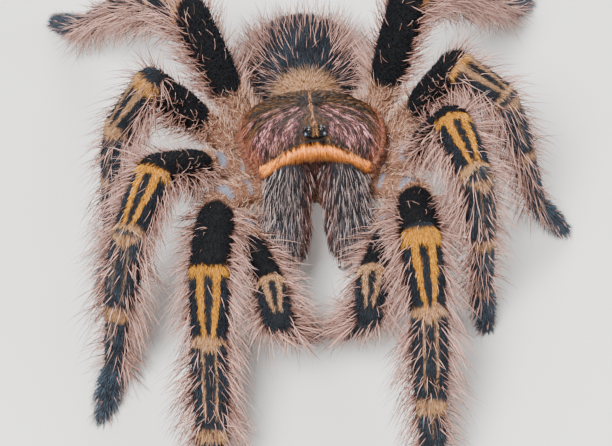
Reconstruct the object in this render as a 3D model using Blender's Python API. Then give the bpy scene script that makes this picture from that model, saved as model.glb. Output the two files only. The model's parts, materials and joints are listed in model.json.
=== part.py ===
"""A Chaco golden knee tarantula at life size, standing still with its front raised.

Metres, +Z up. The animal faces -Y and its own left is +X. Its feet stand on the floor at Z = 0, and the
origin is on the floor under the middle of its box.
"""
import math
from typing import NamedTuple

import bmesh
import bpy
from mathutils import Matrix, Vector

MM = 0.001
GAP = 0.3 * MM                      # clearance between neighbouring pieces

# Front body (prosoma). Its frame has its origin at the middle of the carapace's rim.
PROSOMA_HEIGHT = 22.0 * MM          # rim above the floor
PROSOMA_PITCH = math.radians(15)    # front raised
CARAPACE_LENGTH = 28.0 * MM
CARAPACE_WIDTH = 26.0 * MM
CARAPACE_FRONT_WIDTH = 18.6 * MM
CARAPACE_REAR_WIDTH = 9.0 * MM
CARAPACE_WIDEST = 1.0 * MM          # Y of its widest place
HEAD_HEIGHT = 8.0 * MM              # raised front part, above the rim
FOVEA_HEIGHT = 5.2 * MM             # the pit where the radiating grooves meet
FOVEA_PLACE = 3.4 * MM
REAR_HEIGHT = 0.6 * MM
RIM = 0.45 * MM                     # half the rim's thickness
BROW_THICKNESS = 1.5 * MM           # carapace over the roots of the jaws
ARCH_DEPTH = 7.0 * MM               # how far back the jaws' arch runs
CARAPACE_SIDES = 28

MOUND_WIDTH = 4.4 * MM              # eye mound
MOUND_LENGTH = 3.0 * MM
MOUND_HEIGHT = 1.2 * MM
MOUND_PLACE = -12.1 * MM
EYE_GAP = 0.1 * MM

STERNUM_WIDTH = 8.6 * MM
STERNUM_LENGTH = 18.0 * MM
STERNUM_TOP = -0.9 * MM
STERNUM_BOTTOM = -8.0 * MM
STERNUM_PLACE = -1.0 * MM

# Rear body
ABDOMEN_LENGTH = 27.0 * MM
ABDOMEN_WIDTH = 22.4 * MM
ABDOMEN_HEIGHT = 19.8 * MM
ABDOMEN_CENTRE = Vector((0, 27.6, 11.4)) * MM
ABDOMEN_PITCH = math.radians(-22)   # rear end lowered
PEDICEL_RADIUS = 1.5 * MM
SPINNERET_LENGTH = 4.6 * MM
SPINNERET_RADIUS = 0.85 * MM

# Jaws
CHELICERA_ROOT = Vector((4.6, -11.0, 27.6)) * MM
CHELICERA_TIP = Vector((6.0, -21.6, 15.4)) * MM
CHELICERA_HALF_WIDTH = 4.4 * MM
CHELICERA_HALF_DEPTH = 4.7 * MM
FANG_ROOT = Vector((5.6, -20.6, 13.1)) * MM
FANG_LENGTH = 9.0 * MM
FANG_RADIUS = 1.25 * MM

# Limbs
SIDES = 12
TIP_SINK = 0.2 * MM                 # how much of a foot's round tip the floor cuts off
SHARP_BEND = math.sin(math.radians(25))     # half a bend whose outer corner is taken off
CORNER_CUT = 1.04                   # radii from the joint to that cut


class Limb(NamedTuple):
    """Places and lengths of one limb of the left side, in millimetres, in the prosoma's frame."""
    inner: tuple        # inner end of the coxa
    hip: tuple          # from coxa to trochanter
    base: tuple         # from trochanter to femur
    lengths: tuple      # femur, patella, tibia, (metatarsus,) tarsus
    girth: float        # thickness against the first leg's


LIMBS = {
    "leg_1": Limb((6.0, -6.9, -5.5), (13.1, -10.3, -4.8), (17.5, -13.3, -4.3),
                  (20.5, 13.2, 15.5, 14.0, 10.0), 1.0),
    "leg_2": Limb((6.9, -2.1, -5.0), (13.8, -3.2, -4.6), (18.6, -4.4, -2.1),
                  (19.2, 12.2, 14.0, 13.2, 9.6), 0.96),
    "leg_3": Limb((6.9, 2.6, -5.0), (13.7, 3.7, -4.5), (18.5, 4.1, 0.4),
                  (17.2, 10.2, 12.2, 14.0, 9.6), 0.93),
    "leg_4": Limb((5.4, 7.4, -5.0), (10.3, 9.7, -4.8), (13.6, 11.9, -0.5),
                  (20.5, 11.3, 16.3, 19.5, 10.8), 1.0),
    "palp": Limb((4.6, -9.6, -9.9), (11.3, -13.2, -9.8), (12.7, -18.6, -7.2),
                 (14.0, 8.8, 10.0, 9.5), 0.8),
}


class Pose(NamedTuple):
    """Directions of a limb's segments from the femur on, in degrees."""
    headings: tuple     # about Z, from +X
    slopes: tuple       # above level; a leg's last segment has none, as it reaches down to the floor


POSES = {
    ("leg_1", "left"): Pose((-93, -86, -92, -90, -90), (28, -33, -35, -42)),
    ("leg_1", "right"): Pose((264, 267, 269, 267, 267), (17, -35, -34, -32)),
    ("leg_2", "left"): Pose((-58, -76, -57, -53, -53), (61, -2, -78, -84)),
    ("leg_2", "right"): Pose((231, 245, 250, 236, 254), (38, -18, -58, -78)),
    ("leg_3", "left"): Pose((-18, -34, -32, -13, -4), (64, -18, -67, -75)),
    ("leg_3", "right"): Pose((191, 208, 212, 262, 258), (54, -48, -79, -66)),
    ("leg_4", "left"): Pose((57, 51, 48, 51, 51), (62, -27, -41, -48)),
    ("leg_4", "right"): Pose((138, 125, 129, 129, 129), (61, -26, -39, -49)),
    ("palp", "left"): Pose((-107, -99, 114, 131), (10, 0, -61, -52)),
    ("palp", "right"): Pose((285, 275, 62, 45), (4, 8, -60, -50)),
}


class Girth(NamedTuple):
    """Radii of a segment at its start, middle and end, in millimetres."""
    start: float
    middle: float
    end: float


LEG_GIRTHS = (
    Girth(2.1, 2.7, 3.0),           # coxa
    Girth(3.0, 3.15, 3.2),          # trochanter
    Girth(2.95, 3.8, 3.7),          # femur
    Girth(3.7, 3.75, 3.35),         # patella
    Girth(3.35, 3.5, 3.0),          # tibia
    Girth(2.75, 2.6, 2.3),          # metatarsus
    Girth(2.25, 2.3, 1.55),         # tarsus
)
PALP_GIRTHS = (
    Girth(2.1, 2.5, 2.7),           # coxa
    Girth(2.7, 2.75, 2.85),         # trochanter
    Girth(2.8, 3.25, 3.65),         # femur
    Girth(3.75, 3.85, 3.5),         # patella
    Girth(3.5, 3.6, 3.1),           # tibia
    Girth(3.0, 2.8, 1.4),           # tarsus
)
LEG_NODES = {"coxa": (0, 2), "femur": (2, 3), "patella_tibia": (3, 5), "foot": (5, 7)}
PALP_NODES = {"coxa": (0, 2), "femur": (2, 3), "patella_tibia": (3, 5), "tarsus": (5, 6)}
LIMB_MATERIALS = {"coxa": "hip_tan", "patella_tibia": "leg_striped"}

# Colour, roughness and metallic value of each material
FINISHES = {
    "leg_black": ((0.018, 0.02, 0.026), 0.75, 0.0),
    "leg_striped": ((0.11, 0.075, 0.045), 0.75, 0.0),
    "hip_tan": ((0.42, 0.26, 0.16), 0.85, 0.0),
    "carapace_brown": ((0.16, 0.07, 0.045), 0.5, 0.1),
    "jaw_grey": ((0.07, 0.06, 0.065), 0.7, 0.0),
    "abdomen_black": ((0.03, 0.028, 0.032), 0.85, 0.0),
    "fang_black": ((0.012, 0.008, 0.008), 0.2, 0.0),
    "eye_gloss": ((0.01, 0.008, 0.01), 0.08, 0.0),
}

PROSOMA_FRAME = Matrix.Translation((0, 0, PROSOMA_HEIGHT)) @ Matrix.Rotation(-PROSOMA_PITCH, 4, "X")


def clear_scene():
    for item in list(bpy.data.objects):
        bpy.data.objects.remove(item, do_unlink=True)


def make_materials():
    made = {}
    for name, (colour, roughness, metallic) in FINISHES.items():
        material = bpy.data.materials.new(name)
        material.use_nodes = True
        shader = material.node_tree.nodes["Principled BSDF"]
        shader.inputs["Base Color"].default_value = (*colour, 1)
        shader.inputs["Roughness"].default_value = roughness
        shader.inputs["Metallic"].default_value = metallic
        made[name] = material
    return made


class Builder:
    """Adds the finished solids to the animal's collection, under one empty."""

    def __init__(self):
        self.materials = make_materials()
        self.collection = bpy.data.collections.new("tarantula")
        bpy.context.scene.collection.children.link(self.collection)
        self.root = bpy.data.objects.new("tarantula_root", None)
        self.collection.objects.link(self.root)

    def add(self, name, mesh_data, material):
        """Object of a bmesh, whose faces are made to point out."""
        bmesh.ops.recalc_face_normals(mesh_data, faces=mesh_data.faces)
        mesh = bpy.data.meshes.new(name)
        mesh_data.to_mesh(mesh)
        mesh_data.free()
        mesh.shade_smooth()
        mesh.set_sharp_from_angle(angle=math.radians(40))
        mesh.materials.append(self.materials[material])
        item = bpy.data.objects.new(name, mesh)
        item.parent = self.root
        self.collection.objects.link(item)
        return item


def loft(rings):
    """Closed solid through rings of equal count: a capped circle, extruded from ring to ring."""
    solid = bmesh.new()
    bmesh.ops.create_circle(solid, cap_ends=True, radius=1, segments=len(rings[0]))
    solid.faces.ensure_lookup_table()
    face = solid.faces[0]
    for vert, place in zip(face.verts, rings[0]):
        vert.co = place
    for index, ring in enumerate(rings[1:]):
        grown = bmesh.ops.extrude_face_region(solid, geom=[face])["geom"]
        if index:
            bmesh.ops.delete(solid, geom=[face], context="FACES_ONLY")
        face = next(item for item in grown if isinstance(item, bmesh.types.BMFace))
        for vert, place in zip(face.verts, ring):
            vert.co = place
    return solid


def trim(solid, place, normal):
    """Cut off what lies on the normal's side of a plane, and close the cut."""
    everything = solid.verts[:] + solid.edges[:] + solid.faces[:]
    bmesh.ops.bisect_plane(solid, geom=everything, plane_co=place, plane_no=normal, clear_outer=True)
    open_edges = [edge for edge in solid.edges if edge.is_boundary]
    bmesh.ops.holes_fill(solid, edges=open_edges)


def ellipsoid(centre, half_sizes, turn=Matrix(), rings=12, sides=20):
    """Sphere scaled to its half sizes, turned and set in its place."""
    solid = bmesh.new()
    bmesh.ops.create_uvsphere(solid, u_segments=sides, v_segments=rings, radius=1)
    scale = Matrix.Diagonal((*half_sizes, 1))
    bmesh.ops.transform(solid, matrix=Matrix.Translation(centre) @ turn @ scale, verts=solid.verts)
    return solid


def smooth_step(value):
    value = min(max(value, 0.0), 1.0)
    return value * value * (3 - 2 * value)


# ---------------------------------------------------------------- front body

def carapace_half_width(y):
    """Half width of the carapace at a place along it."""
    half = CARAPACE_WIDTH / 2
    if y < CARAPACE_WIDEST:
        share = (CARAPACE_WIDEST - y) / (CARAPACE_WIDEST + CARAPACE_LENGTH / 2)
        return half - (half - CARAPACE_FRONT_WIDTH / 2) * share ** 2.2
    share = (y - CARAPACE_WIDEST) / (CARAPACE_LENGTH / 2 - CARAPACE_WIDEST)
    return half - (half - CARAPACE_REAR_WIDTH / 2) * share ** 2.6


def carapace_ridge(y):
    """Height of the carapace's midline above the rim."""
    front = -CARAPACE_LENGTH / 2
    if y < FOVEA_PLACE:
        share = smooth_step((y + 9 * MM) / (FOVEA_PLACE + 9 * MM))
        brow = 0.5 * MM * smooth_step((front + 2.5 * MM - y) / (2.5 * MM))
        return HEAD_HEIGHT + (FOVEA_HEIGHT - HEAD_HEIGHT) * share - brow
    share = (y - FOVEA_PLACE) / (CARAPACE_LENGTH / 2 - FOVEA_PLACE)
    return FOVEA_HEIGHT + (REAR_HEIGHT - FOVEA_HEIGHT) * share ** 1.8


def carapace_top(x, y):
    across = min(abs(x) / carapace_half_width(y), 1.0)
    return RIM + carapace_ridge(y) * (1 - across ** 2.3) ** 0.8


def carapace_underside(x, y):
    """Flat, with an arch at the front where the jaws come out."""
    across = min(abs(x) / carapace_half_width(y), 1.0)
    arch = smooth_step(1 - (y + CARAPACE_LENGTH / 2) / ARCH_DEPTH)
    rise = (carapace_ridge(y) - BROW_THICKNESS + 2 * RIM) * (1 - across ** 2.8) ** 0.8
    return -RIM + max(rise, 0) * arch


def carapace_ring(y):
    ring = []
    for side in range(CARAPACE_SIDES):
        angle = math.tau * side / CARAPACE_SIDES
        x = carapace_half_width(y) * math.cos(angle)
        surface = carapace_underside if math.sin(angle) < 0 else carapace_top
        if side in (0, CARAPACE_SIDES // 2):
            ring.append(Vector((x, y, 0)))
        else:
            ring.append(Vector((x, y, surface(x, y))))
    return ring


def build_carapace(builder):
    half = CARAPACE_LENGTH / 2
    shares = (-1, -0.93, -0.82, -0.7, -0.55, -0.38, -0.2, 0, 0.15, 0.28, 0.45, 0.62, 0.78, 0.9, 1)
    solid = loft([carapace_ring(share * half) for share in shares])
    bmesh.ops.transform(solid, matrix=PROSOMA_FRAME, verts=solid.verts)
    builder.add("carapace", solid, "carapace_brown")


def mound_base():
    """Height of the plane that the eye mound stands on."""
    return carapace_top(0, MOUND_PLACE) + GAP


def build_eye_mound(builder):
    centre = Vector((0, MOUND_PLACE, mound_base()))
    solid = ellipsoid(centre, (MOUND_WIDTH / 2, MOUND_LENGTH / 2, MOUND_HEIGHT), rings=8, sides=16)
    trim(solid, centre, (0, 0, -1))
    bmesh.ops.transform(solid, matrix=PROSOMA_FRAME, verts=solid.verts)
    builder.add("eye_mound", solid, "carapace_brown")


# Each pair of eyes: place across and along the mound from its middle, and radius
EYES = {
    "front_middle": (1.12 * MM, -0.42 * MM, 0.46 * MM),
    "front_side": (1.72 * MM, -0.98 * MM, 0.38 * MM),
    "rear_side": (1.8 * MM, 0.42 * MM, 0.33 * MM),
    "rear_middle": (1.12 * MM, 0.62 * MM, 0.24 * MM),
}


def build_eyes(builder):
    for pair, (across, along, radius) in EYES.items():
        for side, sign in (("left", 1), ("right", -1)):
            x = sign * across
            fill = 1 - (2 * x / MOUND_WIDTH) ** 2 - (2 * along / MOUND_LENGTH) ** 2
            height = MOUND_HEIGHT * math.sqrt(max(fill, 0.02))
            slope_x = 4 * x / MOUND_WIDTH ** 2
            slope_y = 4 * along / MOUND_LENGTH ** 2
            out = Vector((slope_x, slope_y, height / MOUND_HEIGHT ** 2)).normalized()
            centre = Vector((x, MOUND_PLACE + along, mound_base() + height)) + out * EYE_GAP
            turn = out.to_track_quat("Z", "Y").to_matrix().to_4x4()
            solid = ellipsoid(centre, (radius, radius, radius * 0.8), turn, rings=6, sides=10)
            trim(solid, centre, -out)
            bmesh.ops.transform(solid, matrix=PROSOMA_FRAME, verts=solid.verts)
            builder.add(f"eye_{pair}_{side}", solid, "eye_gloss")


def build_sternum(builder):
    """Breast plate and the flesh over it, between the coxae."""
    middle = (STERNUM_TOP + STERNUM_BOTTOM) / 2
    half_height = (STERNUM_TOP - STERNUM_BOTTOM) / 2
    shares = ((-1, 0.72), (-0.6, 0.95), (0.5, 1.0), (1, 0.92))
    rings = []
    for level, width in shares:
        ring = []
        for side in range(SIDES + 4):
            angle = math.tau * side / (SIDES + 4)
            x = STERNUM_WIDTH / 2 * width * math.cos(angle)
            y = STERNUM_PLACE + STERNUM_LENGTH / 2 * width * math.sin(angle)
            ring.append(Vector((x, y, middle + level * half_height)))
        rings.append(ring)
    solid = loft(rings)
    bmesh.ops.transform(solid, matrix=PROSOMA_FRAME, verts=solid.verts)
    builder.add("sternum", solid, "hip_tan")


# ---------------------------------------------------------------- tapered solids along a path

def ring_about(centre, direction, half_width, half_depth, sides=SIDES):
    """Ellipse square to a direction in the YZ plane; its width runs along X."""
    depth_way = direction.cross(Vector((1, 0, 0))).normalized()
    width_way = depth_way.cross(direction).normalized()
    ring = []
    for side in range(sides):
        angle = math.tau * side / sides
        place = centre + width_way * half_width * math.cos(angle) + depth_way * half_depth * math.sin(angle)
        ring.append(place)
    return ring


def build_chelicerae(builder):
    """Jaw bases: plump, side by side at the root, parting towards the fangs."""
    profile = ((0.0, 0.5), (0.06, 0.72), (0.18, 0.9), (0.38, 1.0),
               (0.6, 0.99), (0.78, 0.93), (0.9, 0.86), (1.0, 0.6))
    for side, sign in (("left", 1), ("right", -1)):
        mirror = Vector((sign, 1, 1))
        root = CHELICERA_ROOT * mirror
        tip = CHELICERA_TIP * mirror
        direction = (tip - root).normalized()
        rings = []
        for along, size in profile:
            centre = root.lerp(tip, along)
            narrow = 1 - 0.14 * along
            spread = CHELICERA_HALF_WIDTH * size * narrow
            rings.append(ring_about(centre, direction, spread, CHELICERA_HALF_DEPTH * size, 16))
        builder.add(f"chelicera_{side}", loft(rings), "jaw_grey")


def fang_point(share, sign):
    """Place on the fang's curve: it drops from the jaw and bends back under it."""
    bend = math.radians(-105 + 75 * share)
    start = math.radians(-105)
    radius = FANG_LENGTH / math.radians(75)
    back = radius * (math.sin(bend) - math.sin(start))
    down = radius * (math.cos(start) - math.cos(bend))
    inward = 1.6 * MM * share * abs(share)
    return Vector((sign * (FANG_ROOT.x - inward), FANG_ROOT.y + back, FANG_ROOT.z + down))


def build_fangs(builder):
    steps = 7
    for side, sign in (("left", 1), ("right", -1)):
        rings = []
        for step in range(steps + 1):
            share = step / steps
            ahead = fang_point(share + 0.02, sign) - fang_point(share - 0.02, sign)
            radius = FANG_RADIUS * (1 - 0.78 * share)
            rings.append(ring_about(fang_point(share, sign), ahead.normalized(), radius, radius, 10))
        builder.add(f"fang_{side}", loft(rings), "fang_black")


# ---------------------------------------------------------------- rear body

def abdomen_axis():
    return Vector((0, math.cos(ABDOMEN_PITCH), math.sin(ABDOMEN_PITCH)))


def build_abdomen(builder):
    half_sizes = (ABDOMEN_WIDTH / 2, ABDOMEN_LENGTH / 2, ABDOMEN_HEIGHT / 2)
    turn = Matrix.Rotation(ABDOMEN_PITCH, 4, "X")
    builder.add("abdomen", ellipsoid(ABDOMEN_CENTRE, half_sizes, turn, 14, 22), "abdomen_black")

    front = ABDOMEN_CENTRE - abdomen_axis() * (ABDOMEN_LENGTH / 2 + 2 * GAP)
    root = PROSOMA_FRAME @ Vector((0, STERNUM_PLACE + STERNUM_LENGTH / 2 + 3 * GAP, -4 * MM))
    direction = (front - root).normalized()
    rings = []
    for share, size in ((0, 0.8), (0.3, 1.0), (0.7, 1.0), (1, 0.6)):
        radius = PEDICEL_RADIUS * size
        rings.append(ring_about(root.lerp(front, share), direction, radius, radius, 10))
    builder.add("pedicel", loft(rings), "hip_tan")

    for side, sign in (("left", 1), ("right", -1)):
        start = ABDOMEN_CENTRE + abdomen_axis() * (ABDOMEN_LENGTH / 2 + 0.1 * MM)
        start += Vector((sign * 1.7 * MM, 0, -1.2 * MM))
        end = start + Vector((sign * 1.3 * MM, 0.92 * SPINNERET_LENGTH, -0.1 * SPINNERET_LENGTH))
        direction = (end - start).normalized()
        rings = []
        for share, size in ((0, 0.9), (0.35, 1.0), (0.75, 0.8), (0.93, 0.55), (1, 0.35)):
            radius = SPINNERET_RADIUS * size
            rings.append(ring_about(start.lerp(end, share), direction, radius, radius, 8))
        builder.add(f"spinneret_{side}", loft(rings), "abdomen_black")


# ---------------------------------------------------------------- limbs

def limb_joints(kind, side):
    """Joints of a limb from the coxa's inner end to the tip."""
    limb = LIMBS[kind]
    pose = POSES[kind, side]
    mirror = Vector((1 if side == "left" else -1, 1, 1))
    joints = [PROSOMA_FRAME @ (Vector(place) * mirror * MM) for place in (limb.inner, limb.hip, limb.base)]
    for length, heading, slope in zip(limb.lengths, pose.headings, pose.slopes):
        level = Vector((math.cos(math.radians(heading)), math.sin(math.radians(heading)), 0))
        rise = math.radians(slope)
        way = level * math.cos(rise) + Vector((0, 0, math.sin(rise)))
        joints.append(joints[-1] + way * length * MM)
    if len(pose.slopes) < len(limb.lengths):
        joints.append(floor_point(joints[-1], limb, pose.headings[-1]))
    return joints


def floor_point(ankle, limb, heading):
    """Tip of a tarsus that comes down from the ankle to the floor."""
    length = limb.lengths[-1] * MM
    tip_height = LEG_GIRTHS[-1].end * limb.girth * MM - TIP_SINK
    drop = ankle.z - tip_height
    reach = math.sqrt(length ** 2 - drop ** 2)
    way = Vector((math.cos(math.radians(heading)), math.sin(math.radians(heading)), 0))
    return ankle + way * reach - Vector((0, 0, drop))


class Segment:
    """One segment's own directions, and the planes that its ends are mitred on."""

    def __init__(self, joints, index, across):
        self.start = joints[index]
        self.end = joints[index + 1]
        self.way = (self.end - self.start).normalized()
        self.across = (across - self.way * across.dot(self.way)).normalized()
        self.up = self.way.cross(self.across)
        before = joints[max(index - 1, 0)]
        after = joints[min(index + 2, len(joints) - 1)]
        self.start_normal = ((self.start - before).normalized() + self.way).normalized()
        self.end_normal = ((after - self.end).normalized() + self.way).normalized()

    def ring(self, radius, share, start_gap, end_gap):
        """Ring at a share of the way between the two mitred ends."""
        places = []
        for side in range(SIDES):
            angle = math.tau * side / SIDES
            out = (self.across * math.cos(angle) + self.up * math.sin(angle)) * radius
            low = (start_gap - out.dot(self.start_normal)) / self.way.dot(self.start_normal)
            length = (self.end - self.start).length
            high = length + (-end_gap - out.dot(self.end_normal)) / self.way.dot(self.end_normal)
            places.append(self.start + out + self.way * (low + (high - low) * share))
        return places

    def round_bends(self, solid, start_radius, end_radius):
        """Take the sharp outer corner off each end that bends."""
        for place, normal, sign, radius in ((self.start, self.start_normal, -1, start_radius),
                                            (self.end, self.end_normal, 1, end_radius)):
            outward = (self.way - normal * self.way.dot(normal)) * sign
            if outward.length > SHARP_BEND:
                outward.normalize()
                trim(solid, place + outward * radius * CORNER_CUT, outward)

    def dome(self, radius, angle):
        """Ring of the round tip past the segment's end."""
        centre = self.end + self.way * radius * math.sin(angle)
        slim = radius * math.cos(angle)
        turns = [math.tau * side / SIDES for side in range(SIDES)]
        return [centre + (self.across * math.cos(turn) + self.up * math.sin(turn)) * slim for turn in turns]


def build_limb(builder, kind, side):
    girths = PALP_GIRTHS if kind == "palp" else LEG_GIRTHS
    nodes = PALP_NODES if kind == "palp" else LEG_NODES
    scale = LIMBS[kind].girth * MM
    joints = limb_joints(kind, side)
    segments = []
    across = Vector((0, 0, 1)).cross(joints[1] - joints[0])
    for index in range(len(girths)):
        segments.append(Segment(joints, index, across))
        across = segments[-1].across
    for name, (first, last) in nodes.items():
        rings = []
        for index in range(first, last):
            girth = girths[index]
            start_gap = GAP / 2 if index == first else 0
            end_gap = GAP / 2 if index == last - 1 else 0
            stations = [(0.28, girth.middle), (0.72, girth.middle), (1.0, girth.end)]
            if index == first:
                stations.insert(0, (0.0, girth.start))
            for share, radius in stations:
                rings.append(segments[index].ring(radius * scale, share, start_gap, end_gap))
        if last == len(girths):
            for degrees in (35, 68):
                rings.append(segments[-1].dome(girths[-1].end * scale, math.radians(degrees)))
        solid = loft(rings)
        for index in range(first, last):
            girth = girths[index]
            segments[index].round_bends(solid, girth.start * scale, girth.end * scale)
        if name == "foot":
            trim(solid, (0, 0, 0), (0, 0, -1))
        builder.add(f"{kind}_{side}_{name}", solid, LIMB_MATERIALS.get(name, "leg_black"))


# ---------------------------------------------------------------- whole animal

def centre_on_floor(root):
    """Move the animal so that the origin is under the middle of its box."""
    bpy.context.view_layer.update()
    corners = [item.matrix_world @ Vector(corner) for item in root.children for corner in item.bound_box]
    middle_x = (min(corner.x for corner in corners) + max(corner.x for corner in corners)) / 2
    middle_y = (min(corner.y for corner in corners) + max(corner.y for corner in corners)) / 2
    root.location = (-middle_x, -middle_y, 0)


def main():
    clear_scene()
    builder = Builder()
    build_carapace(builder)
    build_eye_mound(builder)
    build_eyes(builder)
    build_sternum(builder)
    build_chelicerae(builder)
    build_fangs(builder)
    build_abdomen(builder)
    for kind, side in POSES:
        build_limb(builder, kind, side)
    centre_on_floor(builder.root)


main()
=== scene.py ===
"""A Chaco golden knee tarantula at life size: skin, shell plates, jaws, eyes, claws and coat.

Metres, +Z up. The animal faces -Y and its own left is +X. One skin runs under the coat, and the coat is
thousands of thin closed hairs that grow from it. Skin and coat take their markings from the same function.
"""
import json
import math
from typing import NamedTuple

import bpy
import numpy as np
from mathutils import Matrix, Vector

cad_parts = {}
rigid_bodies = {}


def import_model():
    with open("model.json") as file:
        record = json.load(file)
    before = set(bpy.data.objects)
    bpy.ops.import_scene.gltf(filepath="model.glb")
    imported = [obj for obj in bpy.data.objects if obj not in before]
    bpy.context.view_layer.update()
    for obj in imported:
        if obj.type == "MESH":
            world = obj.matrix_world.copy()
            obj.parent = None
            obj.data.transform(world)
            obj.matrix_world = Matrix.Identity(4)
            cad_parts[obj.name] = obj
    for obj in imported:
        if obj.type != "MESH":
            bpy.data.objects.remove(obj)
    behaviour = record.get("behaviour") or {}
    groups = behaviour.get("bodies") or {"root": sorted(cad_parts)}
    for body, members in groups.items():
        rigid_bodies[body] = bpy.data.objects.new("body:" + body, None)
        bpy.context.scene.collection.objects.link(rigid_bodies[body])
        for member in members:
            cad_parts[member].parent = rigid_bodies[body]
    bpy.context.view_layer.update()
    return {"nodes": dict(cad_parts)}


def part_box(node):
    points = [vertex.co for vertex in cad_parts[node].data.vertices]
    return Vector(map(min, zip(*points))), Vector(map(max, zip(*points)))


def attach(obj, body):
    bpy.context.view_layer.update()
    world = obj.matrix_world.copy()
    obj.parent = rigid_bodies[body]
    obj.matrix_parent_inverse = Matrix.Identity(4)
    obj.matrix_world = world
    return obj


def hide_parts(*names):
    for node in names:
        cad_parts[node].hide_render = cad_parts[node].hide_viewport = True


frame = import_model()

bl_info = {
    "name": "Tarantula Maker",
    "version": (1, 0, 0),
    "blender": (4, 5, 0),
    "location": "3D View > Sidebar > Tarantula",
    "description": "Models a Chaco golden knee tarantula around its packed solids",
    "category": "Object",
}

MM = 0.001

# ---------------------------------------------------------------- places shared with the solids

PROSOMA_HEIGHT = 22.0 * MM          # carapace rim above the floor
PROSOMA_PITCH = math.radians(15)    # front raised
CARAPACE_LENGTH = 28.0 * MM
CARAPACE_WIDTH = 26.0 * MM
CARAPACE_FRONT_WIDTH = 18.6 * MM
CARAPACE_REAR_WIDTH = 9.0 * MM
CARAPACE_WIDEST = 1.0 * MM
HEAD_HEIGHT = 8.0 * MM
FOVEA_HEIGHT = 5.2 * MM
FOVEA_PLACE = 3.4 * MM
REAR_HEIGHT = 0.6 * MM
RIM = 0.45 * MM
BROW_THICKNESS = 1.5 * MM
ARCH_DEPTH = 7.0 * MM
MOUND_WIDTH = 4.4 * MM
MOUND_LENGTH = 3.0 * MM
MOUND_HEIGHT = 1.2 * MM
MOUND_PLACE = -12.1 * MM
MOUND_GAP = 0.3 * MM
EYES = {                            # place across and along the mound, and radius
    "front_middle": (1.12 * MM, -0.42 * MM, 0.46 * MM),
    "front_side": (1.72 * MM, -0.98 * MM, 0.38 * MM),
    "rear_side": (1.8 * MM, 0.42 * MM, 0.33 * MM),
    "rear_middle": (1.12 * MM, 0.62 * MM, 0.24 * MM),
}
STERNUM_SIZE = Vector((8.6, 18.0, 7.1)) * MM
STERNUM_CENTRE = Vector((0, -1.0, -4.45)) * MM
ABDOMEN_LENGTH = 27.0 * MM
ABDOMEN_WIDTH = 22.4 * MM
ABDOMEN_HEIGHT = 19.8 * MM
ABDOMEN_CENTRE = Vector((0, 27.6, 11.4)) * MM
ABDOMEN_PITCH = math.radians(-22)
PEDICEL_RADIUS = 1.5 * MM
SPINNERET_LENGTH = 4.6 * MM
SPINNERET_RADIUS = 0.85 * MM
CHELICERA_ROOT = Vector((4.6, -11.0, 27.6)) * MM
CHELICERA_TIP = Vector((6.0, -21.6, 15.4)) * MM
CHELICERA_HALF_WIDTH = 4.4 * MM
CHELICERA_HALF_DEPTH = 4.7 * MM
TIP_SINK = 0.2 * MM


class Limb(NamedTuple):
    """Places and lengths of one limb of the left side, in millimetres, in the prosoma's frame."""
    inner: tuple        # inner end of the coxa
    hip: tuple          # from coxa to trochanter
    base: tuple         # from trochanter to femur
    lengths: tuple      # femur, patella, tibia, (metatarsus,) tarsus
    girth: float


LIMBS = {
    "leg_1": Limb((6.0, -6.9, -5.5), (13.1, -10.3, -4.8), (17.5, -13.3, -4.3),
                  (20.5, 13.2, 15.5, 14.0, 10.0), 1.0),
    "leg_2": Limb((6.9, -2.1, -5.0), (13.8, -3.2, -4.6), (18.6, -4.4, -2.1),
                  (19.2, 12.2, 14.0, 13.2, 9.6), 0.96),
    "leg_3": Limb((6.9, 2.6, -5.0), (13.7, 3.7, -4.5), (18.5, 4.1, 0.4),
                  (17.2, 10.2, 12.2, 14.0, 9.6), 0.93),
    "leg_4": Limb((5.4, 7.4, -5.0), (10.3, 9.7, -4.8), (13.6, 11.9, -0.5),
                  (20.5, 11.3, 16.3, 19.5, 10.8), 1.0),
    "palp": Limb((4.6, -9.6, -9.9), (11.3, -13.2, -9.8), (12.7, -18.6, -7.2),
                 (14.0, 8.8, 10.0, 9.5), 0.8),
}
POSES = {                           # headings and slopes in degrees, from the femur on
    ("leg_1", "left"): ((-93, -86, -92, -90, -90), (28, -33, -35, -42)),
    ("leg_1", "right"): ((264, 267, 269, 267, 267), (17, -35, -34, -32)),
    ("leg_2", "left"): ((-58, -76, -57, -53, -53), (61, -2, -78, -84)),
    ("leg_2", "right"): ((231, 245, 250, 236, 254), (38, -18, -58, -78)),
    ("leg_3", "left"): ((-18, -34, -32, -13, -4), (64, -18, -67, -75)),
    ("leg_3", "right"): ((191, 208, 212, 262, 258), (54, -48, -79, -66)),
    ("leg_4", "left"): ((57, 51, 48, 51, 51), (62, -27, -41, -48)),
    ("leg_4", "right"): ((138, 125, 129, 129, 129), (61, -26, -39, -49)),
    ("palp", "left"): ((-107, -99, 114, 131), (10, 0, -61, -52)),
    ("palp", "right"): ((285, 275, 62, 45), (4, 8, -60, -50)),
}
LEG_GIRTHS = ((2.1, 2.7, 3.0), (3.0, 3.15, 3.2), (2.95, 3.8, 3.7), (3.7, 3.75, 3.35),
              (3.35, 3.5, 3.0), (2.75, 2.6, 2.3), (2.25, 2.3, 1.55))
PALP_GIRTHS = ((2.1, 2.5, 2.7), (2.7, 2.75, 2.85), (2.8, 3.25, 3.65), (3.75, 3.85, 3.5),
               (3.5, 3.6, 3.1), (3.0, 2.8, 1.4))
COXA, TROCHANTER, FEMUR, PATELLA, TIBIA, METATARSUS, TARSUS = range(7)
LEG_SEGMENTS = (COXA, TROCHANTER, FEMUR, PATELLA, TIBIA, METATARSUS, TARSUS)
PALP_SEGMENTS = (COXA, TROCHANTER, FEMUR, PATELLA, TIBIA, TARSUS)
LIMB_NODES = {"leg": ("coxa", "femur", "patella_tibia", "foot"),
              "palp": ("coxa", "femur", "patella_tibia", "tarsus")}


def middle_of(node):
    low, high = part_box(node)
    return (low + high) / 2


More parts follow.
